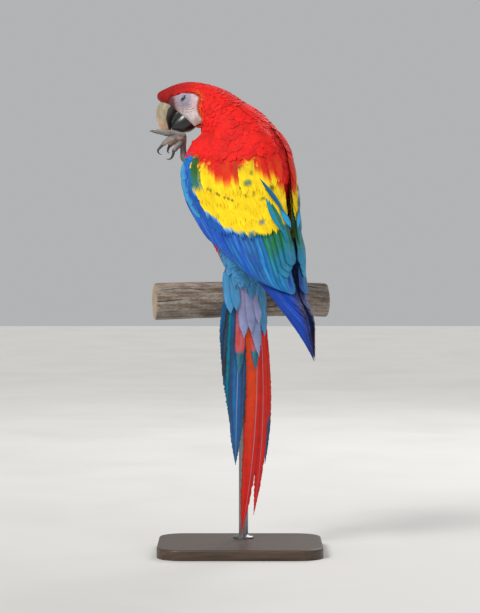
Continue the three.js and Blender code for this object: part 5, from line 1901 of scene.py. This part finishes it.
class MACAW_OT_wings(bpy.types.Operator):
    """Make both folded wings: flesh, coverts and flight feathers"""

    bl_idname = "macaw.wings"
    bl_label = "Make the wings"

    def execute(self, context):
        plumage = context.scene.macaw_plumage
        YELLOW[:], BLUE[:] = plumage.yellow, plumage.blue
        points, faces, colours = wing_flesh()
        for side in ("left", "right"):
            mirror = side == "right"
            seed = plumage.seed + (100 if mirror else 0)
            wing = ("wing_plumage", f"wing_{side}")
            shape = in_mirror(points) if mirror else points
            flesh = mesh_piece(f"wing_flesh_{side}", shape, faces, colours=colours)
            finish(merged(flesh), "skin", *wing)
            grow(f"lesser_coverts_{side}", *lesser_coverts(seed), "small_feathers", *wing, mirror=mirror)
            hand = -1 if mirror else 1
            for name, sheet, down, across, end in (
                ("mantle", on_mantle(hand), (0.03, 0.8), (0.03, 1.0), 1.25),
                ("breast_side", on_side(hand), (0.0, 0.93), (0.02, 0.97), 1.02),
            ):
                seed += 1
                grow(f"{name}_{side}", *draped_feathers(sheet, down, across, end, hand, seed), *COAT)
            for i, row in enumerate(long_coverts(seed + 10)):
                grow(f"long_coverts_{side}_{i + 1}", *row, "small_feathers", *wing, mirror=mirror)
            names = ("primaries", "primary_coverts", "secondaries", "tertials", "scapulars", "alula")
            for name, (row, tones) in zip(names, flight_feathers(seed + 20), strict=True):
                places = wing_unwrap(row.root)
                grow(f"{name}_{side}", row, tones, places, "long_feathers", *wing, mirror=mirror)
        return {"FINISHED"}


class MACAW_OT_tail(bpy.types.Operator):
    """Make the tail: its root, its twelve long feathers and their coverts"""

    bl_idname = "macaw.tail"
    bl_label = "Make the tail"

    def execute(self, context):
        seed = context.scene.macaw_plumage.seed + 200
        rings = tail_flesh()
        # painted shade: the tail's root is a dark teal, dark in the gaps between its feathers
        root = tube_piece("tail_flesh", rings, np.broadcast_to(TEAL * 0.4, rings.shape))
        tail = ("tail_plumage", "tail")
        finish(root, "skin", *tail)
        row, tones = tail_feathers(seed)
        grow("tail_feathers", row, tones, tail_unwrap(row.root, 0), "tail_vanes", *tail)
        for i, (row, tones) in enumerate(tail_coverts(seed), 1):
            grow(f"tail_coverts_{i}", row, tones, tail_unwrap(row.root, i), "long_feathers", *tail)
        return {"FINISHED"}


class MACAW_OT_face(bpy.types.Operator):
    """Make the bill, the eyes with their lids and the lines of small feathers on the face"""

    bl_idname = "macaw.face"
    bl_label = "Make the face"

    def execute(self, context):
        HORN[:] = context.scene.macaw_horn.bill
        finish(tube_piece("upper_bill", *upper_bill()), "bill_horn_finish", "bill_horn", "bill_upper")
        finish(tube_piece("lower_bill", *lower_bill()), "bill_black_finish", "bill_black", "bill_lower")
        finish(tube_piece("tongue", *tongue()), "bill_black_finish", "bill_black")
        for side, hand in (("left", 1), ("right", -1)):
            finish(tube_piece(f"eyeball_{side}", *eyeball(hand)), "eye_gloss", "eye", f"eye_{side}")
            rings, colours = eyelids(hand)
            faces = grid_faces(*rings.shape[:2], closed=True)
            lids = merged(mesh_piece(f"eyelids_{side}", rings, faces, colours=colours))
            finish(lids, "skin", "scarlet_plumage")
            grow(f"face_lines_{side}", *face_lines(hand, 5 + hand), *COAT)
        return {"FINISHED"}


class MACAW_OT_feet(bpy.types.Operator):
    """Make both feet and their claws"""

    bl_idname = "macaw.feet"
    bl_label = "Make the feet"

    def execute(self, context):
        FOOT_GREY[:] = context.scene.macaw_horn.foot
        toes = {"left": RAISED_TOES, "right": [standing_toe(*toe) for toe in STANDING_TOES]}
        for side, toes_here in toes.items():
            made = foot(f"foot_{side}_skin", toes_here, SHANKS[side])
            finish(made, "foot_scales", "foot_skin", f"foot_{side}")
            for i, (path, points, _) in enumerate(toes_here):
                rings = claw_rings(path, points)
                shade = mix(CLAW_GREY * 1.8, CLAW_GREY * 0.6, np.linspace(0, 1, len(rings))[:, None, None])
                tones = np.broadcast_to(shade, rings.shape)
                claw = tube_piece(f"claw_{side}_{i + 1}_horn", rings, tones)
                finish(claw, "claw_horn_finish", "claw_horn", f"claw_{side}_{i + 1}")
        return {"FINISHED"}


class MACAW_OT_stand(bpy.types.Operator):
    """Make the branch, the rod and the base"""

    bl_idname = "macaw.stand"
    bl_label = "Make the stand"

    def execute(self, context):
        stand = context.scene.macaw_stand
        finish(tube_piece("branch", *branch()), "weathered_wood", "branch_wood", "perch_branch")
        radius = stand.rod_radius / MM
        radii = radius * np.append(ROD_COLLAR[:, 0], [1, 1, 1])
        heights = np.append(ROD_COLLAR[:, 1] + stand.base_height / MM, [200, 300, ROD_TOP])
        angle = turns(72)
        ring = columns(np.cos(angle), np.sin(angle), 0.0)
        middle = [PERCH_CENTRE[0] + ROD_ASIDE, PERCH_CENTRE[1], 0]
        rod = tube_piece("rod", middle + radii[:, None, None] * ring + heights[:, None, None] * UP)
        rod.data.set_sharp_from_angle(angle=SHARP_EDGE)
        finish(rod, "brushed_steel", "rod_metal", "stand_rod")
        tone = np.array(stand.wood)
        tones = {"dark": tone * 0.6, "light": tone * 1.5}
        finish(base_plate(stand), "dark_walnut", "base_wood", "stand_base", **tones)
        return {"FINISHED"}


def base_plate(stand):
    """The base: a rounded rectangle carried up a profile with a small foot and a rounded top edge."""
    half_x, half_y, high = (stand.base_width / 2 / MM, stand.base_depth / 2 / MM, stand.base_height / MM)
    turn = turns(160)
    signs = np.array([[1, 1], [-1, 1], [-1, -1], [1, -1]])[(turn // (np.pi / 2)).astype(int)]
    centre = signs * [half_x - BASE_CORNER, half_y - BASE_CORNER]
    arc = columns(np.cos(turn), np.sin(turn))
    profile = [(1.5, 0.0), (0.4, 0.3), (0.0, 1.4)]
    for bevel in np.linspace(0, np.pi / 2, 9):
        profile.append((BASE_ROUNDING * (1 - math.cos(bevel)), high - BASE_ROUNDING * (1 - math.sin(bevel))))
    profile += [(inset, high) for inset in (8.0, 20.0, 38.0)]
    rings = [columns(*(centre + (BASE_CORNER - inset) * arc).T, z) for inset, z in profile]
    plate = tube_piece("base", np.array(rings))
    plate.data.set_sharp_from_angle(angle=SHARP_EDGE)
    return plate


class MACAW_OT_stage(bpy.types.Operator):
    """Set up the floor, the soft lights and the camera"""

    bl_idname = "macaw.stage"
    bl_label = "Set the stage"

    def execute(self, context):
        scene = context.scene
        corners = FLOOR_HALF * np.array([[-1, -1, 0], [1, -1, 0], [1, 1, 0], [-1, 1, 0]]) / MM
        floor = mesh_piece("floor", corners, [[0, 1, 2, 3]], smooth=False)
        floor.data.materials.append(material_of("pale_floor"))
        floor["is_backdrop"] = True
        world = bpy.data.worlds.new("studio")
        world.use_nodes = True
        background = world.node_tree.nodes["Background"].inputs
        background[0].default_value, background[1].default_value = WORLD_COLOUR, WORLD_STRENGTH
        scene.world = world
        for name, kind, place, power, spread, tone in LAMPS:
            lamp = bpy.data.lights.new(name, kind)
            lamp.energy, lamp.color = power, tone
            setattr(lamp, "angle" if kind == "SUN" else "size", spread)
            holder = bpy.data.objects.new(name, lamp)
            holder.location = place
            holder.rotation_euler = (LAMP_AIM - Vector(place)).to_track_quat("-Z", "Y").to_euler()
            scene.collection.objects.link(holder)
        lens = bpy.data.cameras.new("camera")
        lens.sensor_fit = "VERTICAL"
        lens.sensor_height = SENSOR
        lens.lens = SENSOR / 2 * CAMERA_DISTANCE / HALF_VIEW
        lens.clip_end = 60
        camera = bpy.data.objects.new("camera", lens)
        back, rise = CAMERA_DISTANCE * math.cos(CAMERA_TILT), CAMERA_DISTANCE * math.sin(CAMERA_TILT)
        camera.location = (0, -back, VIEW_CENTRE + rise)
        camera.rotation_euler = (math.pi / 2 - CAMERA_TILT, 0, 0)
        scene.collection.objects.link(camera)
        scene.camera = camera
        scene.view_settings.view_transform = "Standard"
        return {"FINISHED"}


class MACAW_PT_panel(bpy.types.Panel):
    """The macaw's sizes, colours and steps in the sidebar."""

    bl_label = "Scarlet macaw"
    bl_idname = "MACAW_PT_panel"
    bl_space_type = "VIEW_3D"
    bl_region_type = "UI"
    bl_category = "Macaw"

    def draw(self, context):
        scene, layout = context.scene, self.layout
        for group in (scene.macaw_plumage, scene.macaw_horn, scene.macaw_stand):
            box = layout.box()
            for name in group.__annotations__:
                box.prop(group, name)
        for step in STEPS:
            layout.operator(step.bl_idname)


STEPS = (
    MACAW_OT_skin,
    MACAW_OT_coat,
    MACAW_OT_wings,
    MACAW_OT_tail,
    MACAW_OT_face,
    MACAW_OT_feet,
    MACAW_OT_stand,
    MACAW_OT_stage,
)
GROUPS = {"macaw_plumage": MacawPlumage, "macaw_horn": MacawHorn, "macaw_stand": MacawStand}


def register():
    """Registers the classes and hangs the property groups on the scene."""
    for kind in (*GROUPS.values(), *STEPS, MACAW_PT_panel):
        bpy.utils.register_class(kind)
    for name, group in GROUPS.items():
        setattr(bpy.types.Scene, name, PointerProperty(type=group))


def unregister():
    """Takes away what register added."""
    for name in GROUPS:
        delattr(bpy.types.Scene, name)
    for kind in (MACAW_PT_panel, *reversed(STEPS), *GROUPS.values()):
        bpy.utils.unregister_class(kind)


def main():
    """Builds the whole macaw."""
    register()
    bpy.ops.macaw.skin()
    bpy.ops.macaw.coat()
    bpy.ops.macaw.wings()
    bpy.ops.macaw.tail()
    bpy.ops.macaw.face()
    bpy.ops.macaw.feet()
    bpy.ops.macaw.stand()
    bpy.ops.macaw.stage()
    boxes = [[[float(v) for v in corner] for corner in box] for box in (CAD_BOX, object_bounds())]


if __name__ == "__main__":
    main()
